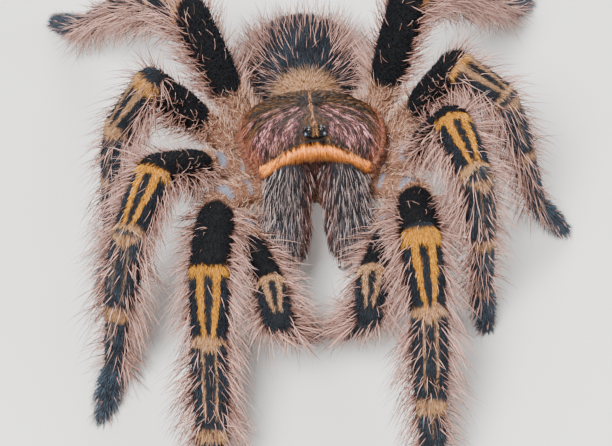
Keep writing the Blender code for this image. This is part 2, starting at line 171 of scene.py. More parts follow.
SHIFT = middle_of("abdomen") - ABDOMEN_CENTRE       # from where the sizes are measured to the row's frame
PROSOMA = (Matrix.Translation(SHIFT + Vector((0, 0, PROSOMA_HEIGHT)))
           @ Matrix.Rotation(-PROSOMA_PITCH, 4, "X"))
PROSOMA_TURN = PROSOMA.to_3x3().to_4x4()
ABDOMEN_FRAME = Matrix.Translation(SHIFT + ABDOMEN_CENTRE) @ Matrix.Rotation(ABDOMEN_PITCH, 4, "X")
ABDOMEN_AXIS = Vector((0, math.cos(ABDOMEN_PITCH), math.sin(ABDOMEN_PITCH)))


# ---------------------------------------------------------------- places and amounts of the looks alone

LIP_ROOT = Vector((0, -6.5, -6.0)) * MM     # where the palps' membrane meets the breast
MOUTH_CENTRE = Vector((0, -9.6, 2.0)) * MM
MOUTH_SIZE = Vector((15.0, 5.2, 7.4)) * MM
JAW_PROFILE = (                     # share along the jaw, and its girth there
    (-0.15, 0.6), (0.0, 0.82), (0.06, 0.88), (0.18, 0.95), (0.38, 1.0),
    (0.6, 0.99), (0.78, 0.93), (0.9, 0.84), (1.0, 0.56),
)
JAW_SHARES = np.concatenate(([-0.15, -0.1, 0, 0.02], np.linspace(0.05, 0.95, 22), [0.98, 1.0]))
JAW_SIDES = 32
JAW_INSET = 0.2                     # of the shell under the solid, in millimetres
HOOK_STEPS = 6
HOOK_SIDES = 8
HOOK_LENGTH = 1.1                   # the hooks' sizes are in millimetres
HOOK_RADIUS = 0.13
HOOK_ARCH = 0.35
HOOK_SPREAD = 0.35                  # sideways from the foot's tip
HOOK_RISE = 0.15
SHORT_ROOT = 0.05                   # depth of short hairs' roots, in millimetres
LONG_ROOT = 0.1
HAIR_CLEARANCE = 0.05 * MM          # over the floor
DENSITIES = {                       # hairs on each square millimetre, before any thinning
    "hips": 4.0,
    "abdomen_velvet": 10.0,
    "abdomen_long": 4.6,
    "carapace": 15.0,
}
COUNTS = {                          # hairs, before any thinning
    "rim": 3200,
    "midline": 110,
    "mound": 1500,
    "brow": 4200,
    "mouth": 420,
}
SEEDS = {                           # the limbs' groups count on from theirs
    "velvet": 100,
    "bristles": 200,
    "hips": 300,
    "abdomen": 310,
    "carapace": 400,
    "rim": 410,
    "brow": 420,
    "jaws": 430,
}


class JawCoat(NamedTuple):
    """One kind of hair of the jaws, with its sizes in millimetres."""
    pale: bool
    count: int
    lengths: tuple                  # shortest and longest
    width: float
    lift: tuple                     # least and greatest, in degrees
    steps: int
    tones: tuple                    # mean and scatter
    spread: tuple = (-0.06, 0.99)   # shares of the jaw's length
    stand: float = 0.0              # turns the hairs out from the jaw near its end


JAW_COATS = (
    JawCoat(False, 7000, (0.9, 1.9), 0.14, (10, 26), 1, (0.5, 0.2)),
    JawCoat(True, 820, (2.0, 4.2), 0.095, (8, 24), 3, (0.5, 0.22)),
    JawCoat(True, 500, (1.2, 2.2), 0.08, (10, 30), 3, (0.3, 0.2)),
    JawCoat(False, 1500, (2.2, 3.8), 0.15, (10, 30), 2, (0.6, 0.2), (0.55, 0.99), 0.9),
    JawCoat(True, 650, (2.6, 4.4), 0.10, (10, 34), 3, (0.5, 0.22), (0.55, 0.99), 0.9),
)
CAMERA_PLACE = Vector((-17.53, -278.38, 329.83)) * MM
CAMERA_AHEAD = Vector((0.0381, 0.6417, -0.7660))
CAMERA_RIGHT = Vector((0.9982, -0.0593, 0.0))
CAMERA_LENS = 134.1
LIGHTS = (                          # name, place, size, and power in watts
    ("key", (-0.20, -0.36, 0.62), 0.28, 18.0),
    ("fill", (0.55, -0.25, 0.35), 0.5, 4.0),
    ("rim", (0.1, 0.6, 0.45), 0.4, 6.0),
)
SKY = (0.95, 0.97, 1.0, 1)
SKY_STRENGTH = 0.35


# ---------------------------------------------------------------- settings

def length_setting(name, description, default):
    return bpy.props.FloatProperty(name=name, description=description, default=default * MM,
                                   min=0, unit="LENGTH", precision=5)


def colour_setting(name, description, default):
    return bpy.props.FloatVectorProperty(name=name, description=description, default=default,
                                         size=3, min=0, max=1, subtype="COLOR")


class TarantulaSizes(bpy.types.PropertyGroup):
    """Depths, lengths and thicknesses of skin and coat."""
    coat_depth: length_setting("Coat depth", "Depth of the skin under the solids", 0.55)
    skin_grain: length_setting("Skin grain", "Size of the skin's faces", 0.5)
    velvet_length: length_setting("Velvet length", "Length of the short fur on the legs", 1.05)
    velvet_width: length_setting("Velvet width", "Thickness of the short fur", 0.15)
    bristle_length: length_setting("Bristle length", "Length of the long hairs on the legs", 7.2)
    bristle_width: length_setting("Bristle width", "Thickness of the long hairs", 0.18)
    bristle_density: bpy.props.FloatProperty(name="Bristle density", min=0, default=3.5,
                                             description="Long hairs on each square millimetre")
    velvet_density: bpy.props.FloatProperty(name="Velvet density", min=0, default=11.0,
                                            description="Short hairs on each square millimetre")


class TarantulaColours(bpy.types.PropertyGroup):
    """Colours of skin, shell and coat."""
    velvet: colour_setting("Velvet", "Short black fur", (0.0045, 0.0050, 0.0070))
    velvet_tip: colour_setting("Velvet tips", "Tips of the short black fur", (0.013, 0.016, 0.023))
    # blue-grey of shins, feet and abdomen: partly the fur's own colour, partly a painted sheen laid into the
    # base colour
    slate: colour_setting("Slate", "Blue-grey fur of shins, feet and abdomen", (0.090, 0.125, 0.170))
    gold: colour_setting("Gold", "Knee bands and stripes", (0.86, 0.40, 0.045))
    cream: colour_setting("Cream", "Pale rings and stripes", (0.80, 0.48, 0.25))
    tan: colour_setting("Tan", "Fur of the hips", (0.47, 0.255, 0.165))
    bristle: colour_setting("Bristle", "Long hairs", (0.37, 0.20, 0.155))
    bristle_root: colour_setting("Bristle roots", "Long hairs next to the skin", (0.07, 0.033, 0.028))
    shell: colour_setting("Shell", "Dark ground of the carapace", (0.010, 0.007, 0.006))
    shell_gold: colour_setting("Shell gold", "Golden hairs of the carapace", (0.27, 0.12, 0.035))
    shell_pink: colour_setting("Shell pink", "Metallic pink hairs of the carapace", (0.72, 0.30, 0.31))
    shell_red: colour_setting("Shell red", "Hairs along the rim", (0.26, 0.075, 0.035))
    brow: colour_setting("Brow", "Brush over the jaws", (0.84, 0.27, 0.035))
    jaw: colour_setting("Jaw", "Shell of the jaws", (0.012, 0.008, 0.009))
    jaw_dark: colour_setting("Jaw fur", "Short dark fur of the jaws", (0.040, 0.044, 0.055))
    jaw_red: colour_setting("Jaw red", "Hairs between the jaws", (0.060, 0.020, 0.015))
    jaw_hair: colour_setting("Jaw hair", "Long hairs of the jaws", (0.44, 0.32, 0.29))
    membrane: colour_setting("Membrane", "Bare skin at the hips", (0.13, 0.135, 0.175))


def sizes():
    return bpy.context.scene.tarantula_sizes


def colours():
    return bpy.context.scene.tarantula_colours


# ---------------------------------------------------------------- small helpers

def deselect():
    for item in bpy.context.selected_objects:
        item.select_set(False)


def only(item):
    """Select this piece alone and make it the active one."""
    deselect()
    item.select_set(True)
    bpy.context.view_layer.objects.active = item


def unit(rows):
    return rows / np.maximum(np.linalg.norm(rows, axis=1, keepdims=True), 1e-12)


def dots(first, second):
    return np.einsum("ij,ij->i", first, second)


def flat(ways, normals, share=1.0):
    """Directions laid down on a surface, by a share of their slope."""
    return unit(ways - normals * (dots(ways, normals) * share)[:, None])


def swung(lie, normals, turn):
    """Directions along a surface, turned about its normals."""
    return lie * np.cos(turn)[:, None] + np.cross(normals, lie) * np.sin(turn)[:, None]


def lifted(lie, normals, lift):
    """Directions along a surface, raised from it."""
    return lie * np.cos(lift)[:, None] + normals * np.sin(lift)[:, None]


def ramp(values, low, high):
    """Smooth step from 0 at low to 1 at high; high may be the smaller."""
    share = np.clip((values - low) / (high - low), 0.0, 1.0)
    return share * share * (3 - 2 * share)


def waves(points, size, seed):
    """Smooth noise from about -1 to 1, with bumps of that size."""
    rng = np.random.default_rng(seed)
    total = np.zeros(len(points))
    for _ in range(6):
        way = rng.normal(size=3)
        way *= math.tau / (size * np.linalg.norm(way)) * rng.uniform(0.7, 1.5)
        total += np.sin(points @ way + rng.uniform(0, math.tau))
    return total / 3


def points_of(mesh):
    flat = np.empty(len(mesh.vertices) * 3)
    mesh.vertices.foreach_get("co", flat)
    return flat.reshape(-1, 3)


def moved(points, matrix):
    """Points turned and shifted by a matrix."""
    matrix = np.array(matrix)
    return points @ matrix[:3, :3].T + matrix[:3, 3]


def store(mesh, name, values):
    """Give each point of the mesh its value, or its colour."""
    kind, key = ("FLOAT", "value") if values.ndim == 1 else ("FLOAT_COLOR", "color")
    layer = mesh.attributes.new(name, kind, "POINT")
    layer.data.foreach_set(key, values.astype(np.float32).ravel())


def place_points(mesh, points):
    mesh.vertices.foreach_set("co", np.ascontiguousarray(points, dtype=np.float32).ravel())
    mesh.update()


def new_sphere(name, segments, rings):
    """Unit sphere at the origin, deselected from all else."""
    deselect()
    bpy.ops.mesh.primitive_uv_sphere_add(segments=segments, ring_count=rings, radius=1, location=(0, 0, 0))
    item = bpy.context.object
    item.name = name
    item.data.name = name
    return item


def join(items, name):
    deselect()
    for item in items:
        item.select_set(True)
    bpy.context.view_layer.objects.active = items[0]
    bpy.ops.object.join()
    items[0].name = name
    items[0].data.name = name
    return items[0]


def apply_modifier(item, kind, **settings):
    only(item)
    bpy.ops.object.modifier_add(type=kind)
    modifier = item.modifiers[-1]
    for key, value in settings.items():
        setattr(modifier, key, value)
    bpy.ops.object.modifier_apply(modifier=modifier.name)


def link_mesh(name, mesh):
    item = bpy.data.objects.new(name, mesh)
    bpy.context.scene.collection.objects.link(item)
    return item


def face_outwards(item, merged=False):
    """Turn the faces outwards, after merging doubles and triangles where asked."""
    only(item)
    bpy.ops.object.mode_set(mode="EDIT")
    bpy.ops.mesh.select_all(action="SELECT")
    if merged:
        bpy.ops.mesh.remove_doubles(threshold=0.00001)
        bpy.ops.mesh.tris_convert_to_quads()
    bpy.ops.mesh.normals_make_consistent(inside=False)
    bpy.ops.object.mode_set(mode="OBJECT")


def finish_piece(item, material, replaced=()):
    """Give a piece its material by name, its finish, its body and the solids that it stands for."""
    item.data.materials.clear()
    item.data.materials.append(bpy.data.materials[material])
    item.data.shade_smooth()
    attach(item, "root")
    if replaced:
        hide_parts(*replaced)


# ---------------------------------------------------------------- limbs as bones

class Bone(NamedTuple):
    """One segment of a limb, with its own directions."""
    limb: int
    kind: str
    segment: int
    start: np.ndarray
    end: np.ndarray
    way: np.ndarray
    across: np.ndarray
    up: np.ndarray
    radii: tuple        # of the solid at start, middle and end
    reach: tuple        # share of the limb's length at its start and end


def limb_joints(kind, side):
    limb = LIMBS[kind]
    headings, slopes = POSES[kind, side]
    mirror = Vector((1 if side == "left" else -1, 1, 1))
    joints = [PROSOMA @ (Vector(place) * mirror * MM) for place in (limb.inner, limb.hip, limb.base)]
    for length, heading, slope in zip(limb.lengths, headings, slopes):
        rise = math.radians(slope)
        turn = math.radians(heading)
        way = Vector((math.cos(turn) * math.cos(rise), math.sin(turn) * math.cos(rise), math.sin(rise)))
        joints.append(joints[-1] + way * length * MM)
    if len(slopes) < len(limb.lengths):
        length = limb.lengths[-1] * MM
        drop = joints[-1].z - (LEG_GIRTHS[-1][2] * limb.girth * MM - TIP_SINK)
        flat = math.sqrt(length ** 2 - drop ** 2)
        turn = math.radians(headings[-1])
        joints.append(joints[-1] + Vector((math.cos(turn) * flat, math.sin(turn) * flat, -drop)))
    return joints


def limb_bones():
    bones = []
    for index, (kind, side) in enumerate(POSES):
        joints = limb_joints(kind, side)
        girths, segments = (PALP_GIRTHS, PALP_SEGMENTS) if kind == "palp" else (LEG_GIRTHS, LEG_SEGMENTS)
        lengths = [(b - a).length for a, b in zip(joints, joints[1:])]
        total = sum(lengths)
        before = None
        for step, segment in enumerate(segments):
            way = (joints[step + 1] - joints[step]).normalized()
            across = Vector((0, 0, 1)).cross(way).normalized()
            if before is not None and across.dot(before) < 0:
                across = -across
            before = across
            up = way.cross(across)
            radii = tuple(radius * LIMBS[kind].girth * MM for radius in girths[step])
            reach = (sum(lengths[:step]) / total, sum(lengths[:step + 1]) / total)
            bones.append(Bone(index, kind, segment, np.array(joints[step]), np.array(joints[step + 1]),
                              np.array(way), np.array(across), np.array(up), radii, reach))
    return bones


BONES = limb_bones()
LIMB_COUNT = len(POSES)
ABDOMEN, TRUNK = LIMB_COUNT, LIMB_COUNT + 1
KINDS = {"leg_1": 1, "leg_2": 2, "leg_3": 3, "leg_4": 4, "palp": 5}


class Site:
    """Where each of many points of the skin is: limb, segment, share along it and angle about it."""

    def __init__(self, points):
        count = len(points)
        self.points = points
        self.part = np.full(count, TRUNK)
        self.kind = np.zeros(count, dtype=int)
        self.segment = np.full(count, -1)
        self.share = np.zeros(count)
        self.angle = np.zeros(count)
        self.reach = np.zeros(count)
        self.way = np.tile((0.0, 1.0, 0.0), (count, 1))
        self.across = np.tile((1.0, 0.0, 0.0), (count, 1))
        self.up = np.tile((0.0, 0.0, 1.0), (count, 1))
        nearest = self.trunk_distance(points)
        nearest = self.claim_abdomen(points, nearest)
        for bone in BONES:
            nearest = self.claim_bone(points, nearest, bone)

    @staticmethod
    def trunk_distance(points):
        local = moved(points, PROSOMA.inverted()) - np.array(STERNUM_CENTRE)
        half = np.array(STERNUM_SIZE) / 2
        return (np.linalg.norm(local / half, axis=1) - 1) * half.min()

    def claim_abdomen(self, points, nearest):
        half = np.array((ABDOMEN_WIDTH, ABDOMEN_LENGTH, ABDOMEN_HEIGHT)) / 2
        scaled = moved(points, ABDOMEN_FRAME.inverted()) / half
        distance = (np.linalg.norm(scaled, axis=1) - 1) * half.min()
        won = distance < nearest
        turned = np.array(ABDOMEN_FRAME)[:3, :3]
        self.part[won] = ABDOMEN
        self.share[won] = (scaled[won, 1] + 1) / 2
        self.reach[won] = np.clip(self.share[won], 0, 1)
        self.angle[won] = np.arctan2(scaled[won, 0], scaled[won, 2])
        self.way[won] = turned[:, 1]
        self.up[won] = turned[:, 2]
        return np.where(won, distance, nearest)

    def claim_bone(self, points, nearest, bone):
        length = np.linalg.norm(bone.end - bone.start)
        local = points - bone.start
        share = local @ bone.way / length
        held = np.clip(share, 0, 1)
        off = local - np.outer(held * length, bone.way)
        first, middle, last = bone.radii
        radius = np.where(held < 0.5, first + (middle - first) * held * 2,
                          middle + (last - middle) * (held * 2 - 1))
        distance = np.linalg.norm(off, axis=1) - radius
        won = distance < nearest
        self.part[won] = bone.limb
        self.kind[won] = KINDS[bone.kind]
        self.segment[won] = bone.segment
        self.share[won] = share[won]
        self.reach[won] = bone.reach[0] + (bone.reach[1] - bone.reach[0]) * held[won]
        self.angle[won] = np.arctan2(local[won] @ bone.across, local[won] @ bone.up)
        self.way[won] = bone.way
        self.across[won] = bone.across
        self.up[won] = bone.up
        return np.where(won, distance, nearest)

    def pick(self, chosen):
        part = Site.__new__(Site)
        for key, value in self.__dict__.items():
            setattr(part, key, value[chosen])
        return part


# ---------------------------------------------------------------- markings

def markings(site):
    """Shares of gold, cream and tan at each point; what is left is black velvet."""
    fray = waves(site.points, 2.6 * MM, 5) * 0.018
    share = site.share + fray
    offset = np.sin(site.angle) + fray
    top = np.cos(site.angle)
    front = np.isin(site.kind, (1, 2))
    hind = np.isin(site.kind, (3, 4))
    palp = site.kind == 5
    limb = site.segment >= 0
    patella, tibia, metatarsus = (site.segment == part for part in (PATELLA, TIBIA, METATARSUS))

    # band over the knee, and two stripes down the patella that draw together
    start = ramp(share, -0.12, -0.06)
    knee = patella * ramp(share, 0.13, 0.08) * start * ramp(top, -0.55, 0.05)
    middle = 0.45 - 0.24 * share ** 2
    width = 0.21 - 0.12 * share ** 2
    stripe = ramp(np.abs(np.abs(offset) - middle), width, width * 0.8) * (top > 0)
    stripe *= patella * ramp(share, 1.0, 0.9) * start

    # rings at the segments' ends, and the point that the tibia's ring sends along it
    ring = patella * ramp(share, 0.91, 0.95) * ramp(top, -0.3, 0.1)
    ring = np.maximum(ring, tibia * ramp(share, 0.93, 0.97) * ramp(top, -0.4, 0.1) * 0.8)
    ring = np.maximum(ring, metatarsus * ramp(share, 0.95, 0.98) * ramp(top, -0.4, 0.1) * 0.6)
    point = 0.10 - 0.13 * np.abs(offset)
    ring_tip = tibia * ramp(share, point + 0.02, point) * ramp(top, 0.2, 0.5)
    ring = np.maximum(ring, ring_tip * ramp(share, -0.05, 0.0))

    # two pale lines along the tibia, and one along the metatarsus
    lines = ramp(np.abs(np.abs(offset) - 0.38), 0.085, 0.035) * (top > 0) * 0.75
    lines *= tibia * ramp(share, 0.9, 0.7) * np.where(np.isin(site.kind, (2, 3)), 0.4, 1.0)
    single = ramp(np.abs(offset), 0.10, 0.04) * (top > 0) * 0.4
    single *= metatarsus * ramp(share, 0.5, 0.3)

    gold = front * np.maximum(knee, stripe)
    gold += hind * 0.8 * knee
    gold += palp * 0.3 * knee
    gold = np.maximum(gold, ring * 0.45 * front)
    cream = hind * np.maximum(0.25 * knee, 0.6 * stripe)
    cream += palp * np.maximum(0.7 * knee, 0.8 * stripe)
    cream = np.maximum(cream, ring * 0.85 * ~palp)
    cream = np.maximum(cream, np.maximum(lines, single) * limb * ~palp)

    # tan hips and breast, and a pale patch on the front of the abdomen
    hip = limb * ((site.segment <= TROCHANTER) + (site.segment == FEMUR) * ramp(share, 0.22, 0.12))
    tan = np.maximum(hip, site.part == TRUNK)
    edge = 0.03 * np.cos(site.angle)
    rump = (site.part == ABDOMEN) * ramp(site.share, 0.135 - edge, 0.075 - edge)
    cream = np.maximum(cream, rump * 0.95)
    tan = np.maximum(tan, rump * 0.2)
    return np.clip(gold, 0, 1), np.clip(cream, 0, 1), np.clip(tan, 0, 1)


def slate_sheen_share(site):
    """How blue-grey the black fur is, partly its own colour and partly painted sheen: least on the thighs,
    most on the feet.
    """
    share = np.select([site.segment == PATELLA, site.segment == TIBIA, site.segment == METATARSUS,
                       site.segment == TARSUS], [0.22, 0.36, 0.5, 1.0], 0.0)
    shin = (site.segment == TIBIA) + (site.segment == METATARSUS)
    share = share + np.isin(site.kind, (2, 3)) * shin * 0.2
    # the abdomen's blue-grey is partly its own colour and partly painted sheen
    abdomen = (site.part == ABDOMEN) * 0.42
    return np.clip(np.maximum(share, abdomen) * (1 + 0.3 * waves(site.points, 4 * MM, 9)), 0, 1)


def bare_skin(site):
    """Share of bare membrane, at the tops of the hip joints."""
    joint = (site.segment == TROCHANTER) * ramp(np.abs(site.share - 0.85), 0.28, 0.14)
    joint = np.maximum(joint, (site.segment == COXA) * ramp(np.abs(site.share - 0.95), 0.12, 0.06))
    return joint * ramp(np.cos(site.angle), 0.45, 0.8) * np.isin(site.kind, (1, 2, 5))


# ---------------------------------------------------------------- materials

class Graph:
    """Short ways to add and link a material's nodes."""

    def __init__(self, name):
        self.material = bpy.data.materials.new(name)
        self.material.use_nodes = True
        self.nodes = self.material.node_tree.nodes
        self.links = self.material.node_tree.links
        self.shader = self.nodes["Principled BSDF"]

    def feed(self, socket, value):
        """Link a socket to another, or set it to a number or a colour."""
        if isinstance(value, bpy.types.NodeSocket):
            self.links.new(value, socket)
        elif isinstance(value, (int, float)):
            socket.default_value = value
        else:
            socket.default_value = (*value, 1)

    def set(self, **inputs):
        for key, value in inputs.items():
            self.feed(self.shader.inputs[key.replace("_", " ")], value)

    def attribute(self, name):
        node = self.nodes.new("ShaderNodeAttribute")
        node.attribute_name = name
        return node

    def split(self, colour):
        node = self.nodes.new("ShaderNodeSeparateColor")
        self.feed(node.inputs[0], colour)
        return node.outputs

    def mix(self, share, first, second, blend="MIX"):
        """Mix two colours, each a socket or a constant."""
        node = self.nodes.new("ShaderNodeMix")
        node.data_type = "RGBA"
        node.blend_type = blend
        for socket, value in ((node.inputs[0], share), (node.inputs[6], first), (node.inputs[7], second)):
            self.feed(socket, value)
        return node.outputs[2]

    def math(self, operation, *values, clamp=False):
        node = self.nodes.new("ShaderNodeMath")
        node.operation = operation
        node.use_clamp = clamp
        for socket, value in zip(node.inputs, values):
            self.feed(socket, value)
        return node.outputs[0]

    def noise(self, scale, detail):
        node = self.nodes.new("ShaderNodeTexNoise")
        node.inputs["Scale"].default_value = scale
        node.inputs["Detail"].default_value = detail
        self.feed(node.inputs["Vector"], self.nodes.new("ShaderNodeTexCoord").outputs["Object"])
        return node.outputs["Fac"]

    def bump(self, height, distance, strength):
        node = self.nodes.new("ShaderNodeBump")
        node.inputs["Distance"].default_value = distance
        node.inputs["Strength"].default_value = strength
        self.feed(node.inputs["Height"], height)
        self.feed(self.shader.inputs["Normal"], node.outputs[0])


def dimmed(colour, share):
    return tuple(value * share for value in colour)


def lighter(colour, share):
    return tuple(value + (1 - value) * share for value in colour)


def marked_colour(graph, black):
    """Colour from the markings: black, then gold, cream and tan over it; and the markings' fourth share."""
    mark = graph.attribute("mark")
    gold, cream, tan = graph.split(mark.outputs["Color"])[:3]
    palette = colours()
    colour = graph.mix(gold, black, palette.gold)
    colour = graph.mix(cream, colour, palette.cream)
    return graph.mix(tan, colour, palette.tan), mark.outputs["Alpha"]


def skin_material():
    graph = Graph("velvet_skin")
    palette = colours()
    grain = graph.noise(2600, 4)
    black = graph.mix(grain, dimmed(palette.velvet, 0.5), palette.velvet_tip)
    black = graph.mix(0.6, black, palette.velvet)
    # painted sheen: the blue-grey share laid into the skin's black, partly the fur's own colour
    black = graph.mix(graph.attribute("slate").outputs["Fac"], black, dimmed(palette.slate, 0.4))
    colour, bare = marked_colour(graph, black)
    # painted shade: the skin under the coat is darkened, patchily and slightly reddish, so the gaps between
    # the hairs look deeper
    shade = graph.mix(graph.noise(1100, 2), (0.16, 0.12, 0.11), (0.52, 0.46, 0.43))
    colour = graph.mix(1.0, colour, shade, "MULTIPLY")
    veil = graph.mix(graph.noise(1600, 3), dimmed(palette.membrane, 0.5), dimmed(palette.membrane, 1.5))
    colour = graph.mix(bare, colour, veil)
    roughness = graph.math("MULTIPLY_ADD", bare, -0.5, 0.85)
    graph.set(Base_Color=colour, Roughness=roughness, Specular_IOR_Level=0.2)
    graph.bump(grain, 0.00025, 0.8)


def velvet_material():
    graph = Graph("velvet_fur")
    palette = colours()
    tip = graph.attribute("tip").outputs["Fac"]
    black = graph.mix(tip, palette.velvet, palette.velvet_tip)
    # painted sheen: the blue-grey share laid into the velvet's black, partly the fur's own colour
    black = graph.mix(graph.attribute("slate").outputs["Fac"], black, palette.slate)
    colour, tone = marked_colour(graph, black)
    shade = graph.mix(tone, (0.5, 0.47, 0.45), (1.25, 1.25, 1.25))
    colour = graph.mix(1.0, colour, shade, "MULTIPLY")
    root = graph.mix(tip, (0.45, 0.42, 0.4), (1, 1, 1))
    colour = graph.mix(1.0, colour, root, "MULTIPLY")
    graph.set(Base_Color=colour, Roughness=0.75, Specular_IOR_Level=0.14)


def hair_material(name, root, middle, end, roughness=0.42, other=None):
    """Long hairs: dark at the root, with a tone of its own for each; marked ones have the other colour."""
    graph = Graph(name)
    tip = graph.attribute("tip").outputs["Fac"]
    tone = graph.attribute("mark").outputs["Alpha"]
    along = graph.nodes.new("ShaderNodeValToRGB")
    stops = along.color_ramp.elements
    stops[0].position = 0.05
    stops[0].color = (*root, 1)
    stops[1].position = 1.0
    stops[1].color = (*end, 1)
    for place in (0.35, 0.75):
        stops.new(place).color = (*middle, 1)
    graph.feed(along.inputs[0], tip)
    shade = graph.mix(tone, (0.22, 0.18, 0.17), (1.75, 1.8, 1.85))
    colour = along.outputs[0]
    if other:
        marked = graph.split(graph.attribute("mark").outputs["Color"])[0]
        colour = graph.mix(marked, colour, other)
    colour = graph.mix(1.0, colour, shade, "MULTIPLY")
    graph.set(Base_Color=colour, Roughness=roughness, Specular_IOR_Level=0.35)


def shell_material():
    graph = Graph("carapace_shell")
    palette = colours()
    pink, gold, red = graph.split(graph.attribute("mark").outputs["Color"])[:3]
    streak = graph.math("MULTIPLY_ADD", graph.noise(1500, 4), 2.2, -0.6, clamp=True)
    colour = palette.shell
    for share, hue in ((gold, dimmed(palette.shell_gold, 0.4)), (pink, dimmed(palette.shell_pink, 0.25)),
                       (red, palette.shell_red)):
        colour = graph.mix(graph.math("MULTIPLY", share, streak), colour, hue)
    graph.set(Base_Color=colour, Roughness=0.6, Specular_IOR_Level=0.2)
    graph.bump(graph.noise(2200, 4), 0.0002, 0.6)


def shell_fur_material():
    """Flat hairs of the carapace: pink ones glint like metal."""
    graph = Graph("shell_fur")
    palette = colours()
    mark = graph.attribute("mark")
    pink, gold, red = graph.split(mark.outputs["Color"])[:3]
    colour = graph.mix(gold, palette.shell, palette.shell_gold)
    colour = graph.mix(pink, colour, palette.shell_pink)
    colour = graph.mix(red, colour, palette.shell_red)
    shade = graph.mix(mark.outputs["Alpha"], (0.16, 0.13, 0.12), (1.9, 1.9, 1.9))
    colour = graph.mix(1.0, colour, shade, "MULTIPLY")
    graph.set(Base_Color=colour, Metallic=graph.math("MULTIPLY", pink, 0.35), Roughness=0.35,
              Specular_IOR_Level=0.35)


def plain_material(name, grain, first, second, relief=None, **finish):
    """Bare shell, horn or skin: two colours mixed by a grain, and a relief where it isn't polished."""
    graph = Graph(name)
    graph.set(Base_Color=graph.mix(graph.noise(*grain), first, second), **finish)
    if relief:
        scale, detail, height, strength = relief
        graph.bump(graph.noise(scale, detail), height, strength)


def make_materials():
    palette = colours()
    skin_material()
    velvet_material()
    shell_material()
    shell_fur_material()
    hair_material("bristle", palette.bristle_root, palette.bristle, lighter(palette.bristle, 0.25))
    hair_material("hip_fur", dimmed(palette.tan, 0.25), palette.tan, lighter(palette.tan, 0.35))
    hair_material("brow_fur", dimmed(palette.brow, 0.35), palette.brow, lighter(palette.brow, 0.22))
    hair_material("jaw_velvet", dimmed(palette.jaw_dark, 0.2), dimmed(palette.jaw_dark, 0.6),
                  palette.jaw_dark, 0.6, palette.jaw_red)
    hair_material("jaw_fur", dimmed(palette.jaw_hair, 0.2), dimmed(palette.jaw_hair, 0.8),
                  lighter(palette.jaw_hair, 0.2), other=dimmed(palette.jaw_red, 2))
    plain_material("jaw_shell", (900, 4), dimmed(palette.jaw, 0.45), palette.jaw,
                   (2500, 4, 0.00015, 0.6), Roughness=0.6, Specular_IOR_Level=0.12)
    plain_material("mouth_membrane", (700, 3), (0.05, 0.018, 0.016), (0.20, 0.10, 0.09),
                   (1500, 4, 0.0002, 0.7), Roughness=0.5, Specular_IOR_Level=0.25)
    plain_material("mound_shell", (1800, 3), (0.003, 0.003, 0.004), (0.014, 0.010, 0.011),
                   (3500, 3, 0.0001, 0.6), Roughness=0.5, Specular_IOR_Level=0.1)
    plain_material("fang_horn", (600, 3), (0.006, 0.004, 0.004), (0.035, 0.012, 0.009),
                   Roughness=0.16, Specular_IOR_Level=0.6, Coat_Weight=0.4, Coat_Roughness=0.08)
    for name, first, second in (("eye_dark", (0.004, 0.003, 0.004), (0.012, 0.009, 0.012)),
                                ("eye_pearl", (0.018, 0.024, 0.038), (0.06, 0.08, 0.11))):
        plain_material(name, (3000, 2), first, second,
                       Roughness=0.07, Specular_IOR_Level=0.5, Coat_Weight=0.5, Coat_Roughness=0.03)


# ---------------------------------------------------------------- skin

def capsule(start, end, across, radii):
    """Rounded limb segment, shaped from a sphere: a cap at each end and a swelling between."""
    item = new_sphere("segment", 24, 18)
    ball = points_of(item.data)
    polar = np.arccos(np.clip(-ball[:, 2], -1, 1))
    turn = np.arctan2(ball[:, 1], ball[:, 0])
    third = math.pi / 3
    share = np.clip((polar - third) / third, 0, 1)
    low, middle, high = radii
    body = np.where(share < 0.5, low + (middle - low) * ramp(share, 0, 0.5),
                    middle + (high - middle) * ramp(share, 0.5, 1))
    first_cap = np.minimum(polar, third) * 1.5
    last_cap = np.minimum(math.pi - polar, third) * 1.5
    at_start, at_end = polar < third, polar > 2 * third
    radius = np.where(at_start, low * np.sin(first_cap), np.where(at_end, high * np.sin(last_cap), body))
    along = share * (end - start).length - np.where(at_start, low * np.cos(first_cap), 0)
    along += np.where(at_end, high * np.cos(last_cap), 0)
    way = (end - start).normalized()
    across = (across - way * across.dot(way)).normalized()
    up = way.cross(across)
    placed = np.outer(along, way) + np.outer(radius * np.cos(turn), across)
    placed += np.outer(radius * np.sin(turn), up)
    place_points(item.data, placed + np.array(start))
    return item


def egg(centre, half_sizes, turn, sides=32, rings=24):
    item = new_sphere("egg", sides, rings)
    matrix = Matrix.Translation(centre) @ turn @ Matrix.Diagonal((*half_sizes, 1))
    place_points(item.data, moved(points_of(item.data), matrix))
    return item


def spinneret_ends(sign):
    tail = SHIFT + ABDOMEN_CENTRE + ABDOMEN_AXIS * (ABDOMEN_LENGTH / 2) + Vector((sign * 1.7, 0, -1.2)) * MM
    reach = Vector((sign * 1.3 * MM, 0.92 * SPINNERET_LENGTH, -0.1 * SPINNERET_LENGTH)) * 0.9
    return tail - reach, tail + reach


def on_spinnerets(points):
    """Which points lie on the two spinnerets or at their feet."""
    there = np.zeros(len(points), dtype=bool)
    for sign in (1, -1):
        start, end = (np.array(place) for place in spinneret_ends(sign))
        share = np.clip((points - start) @ (end - start) / np.sum((end - start) ** 2), 0, 1)
        away = np.linalg.norm(points - start - np.outer(share, end - start), axis=1)
        there |= (away < SPINNERET_RADIUS * 1.5) & (share > 0.3)
    return there


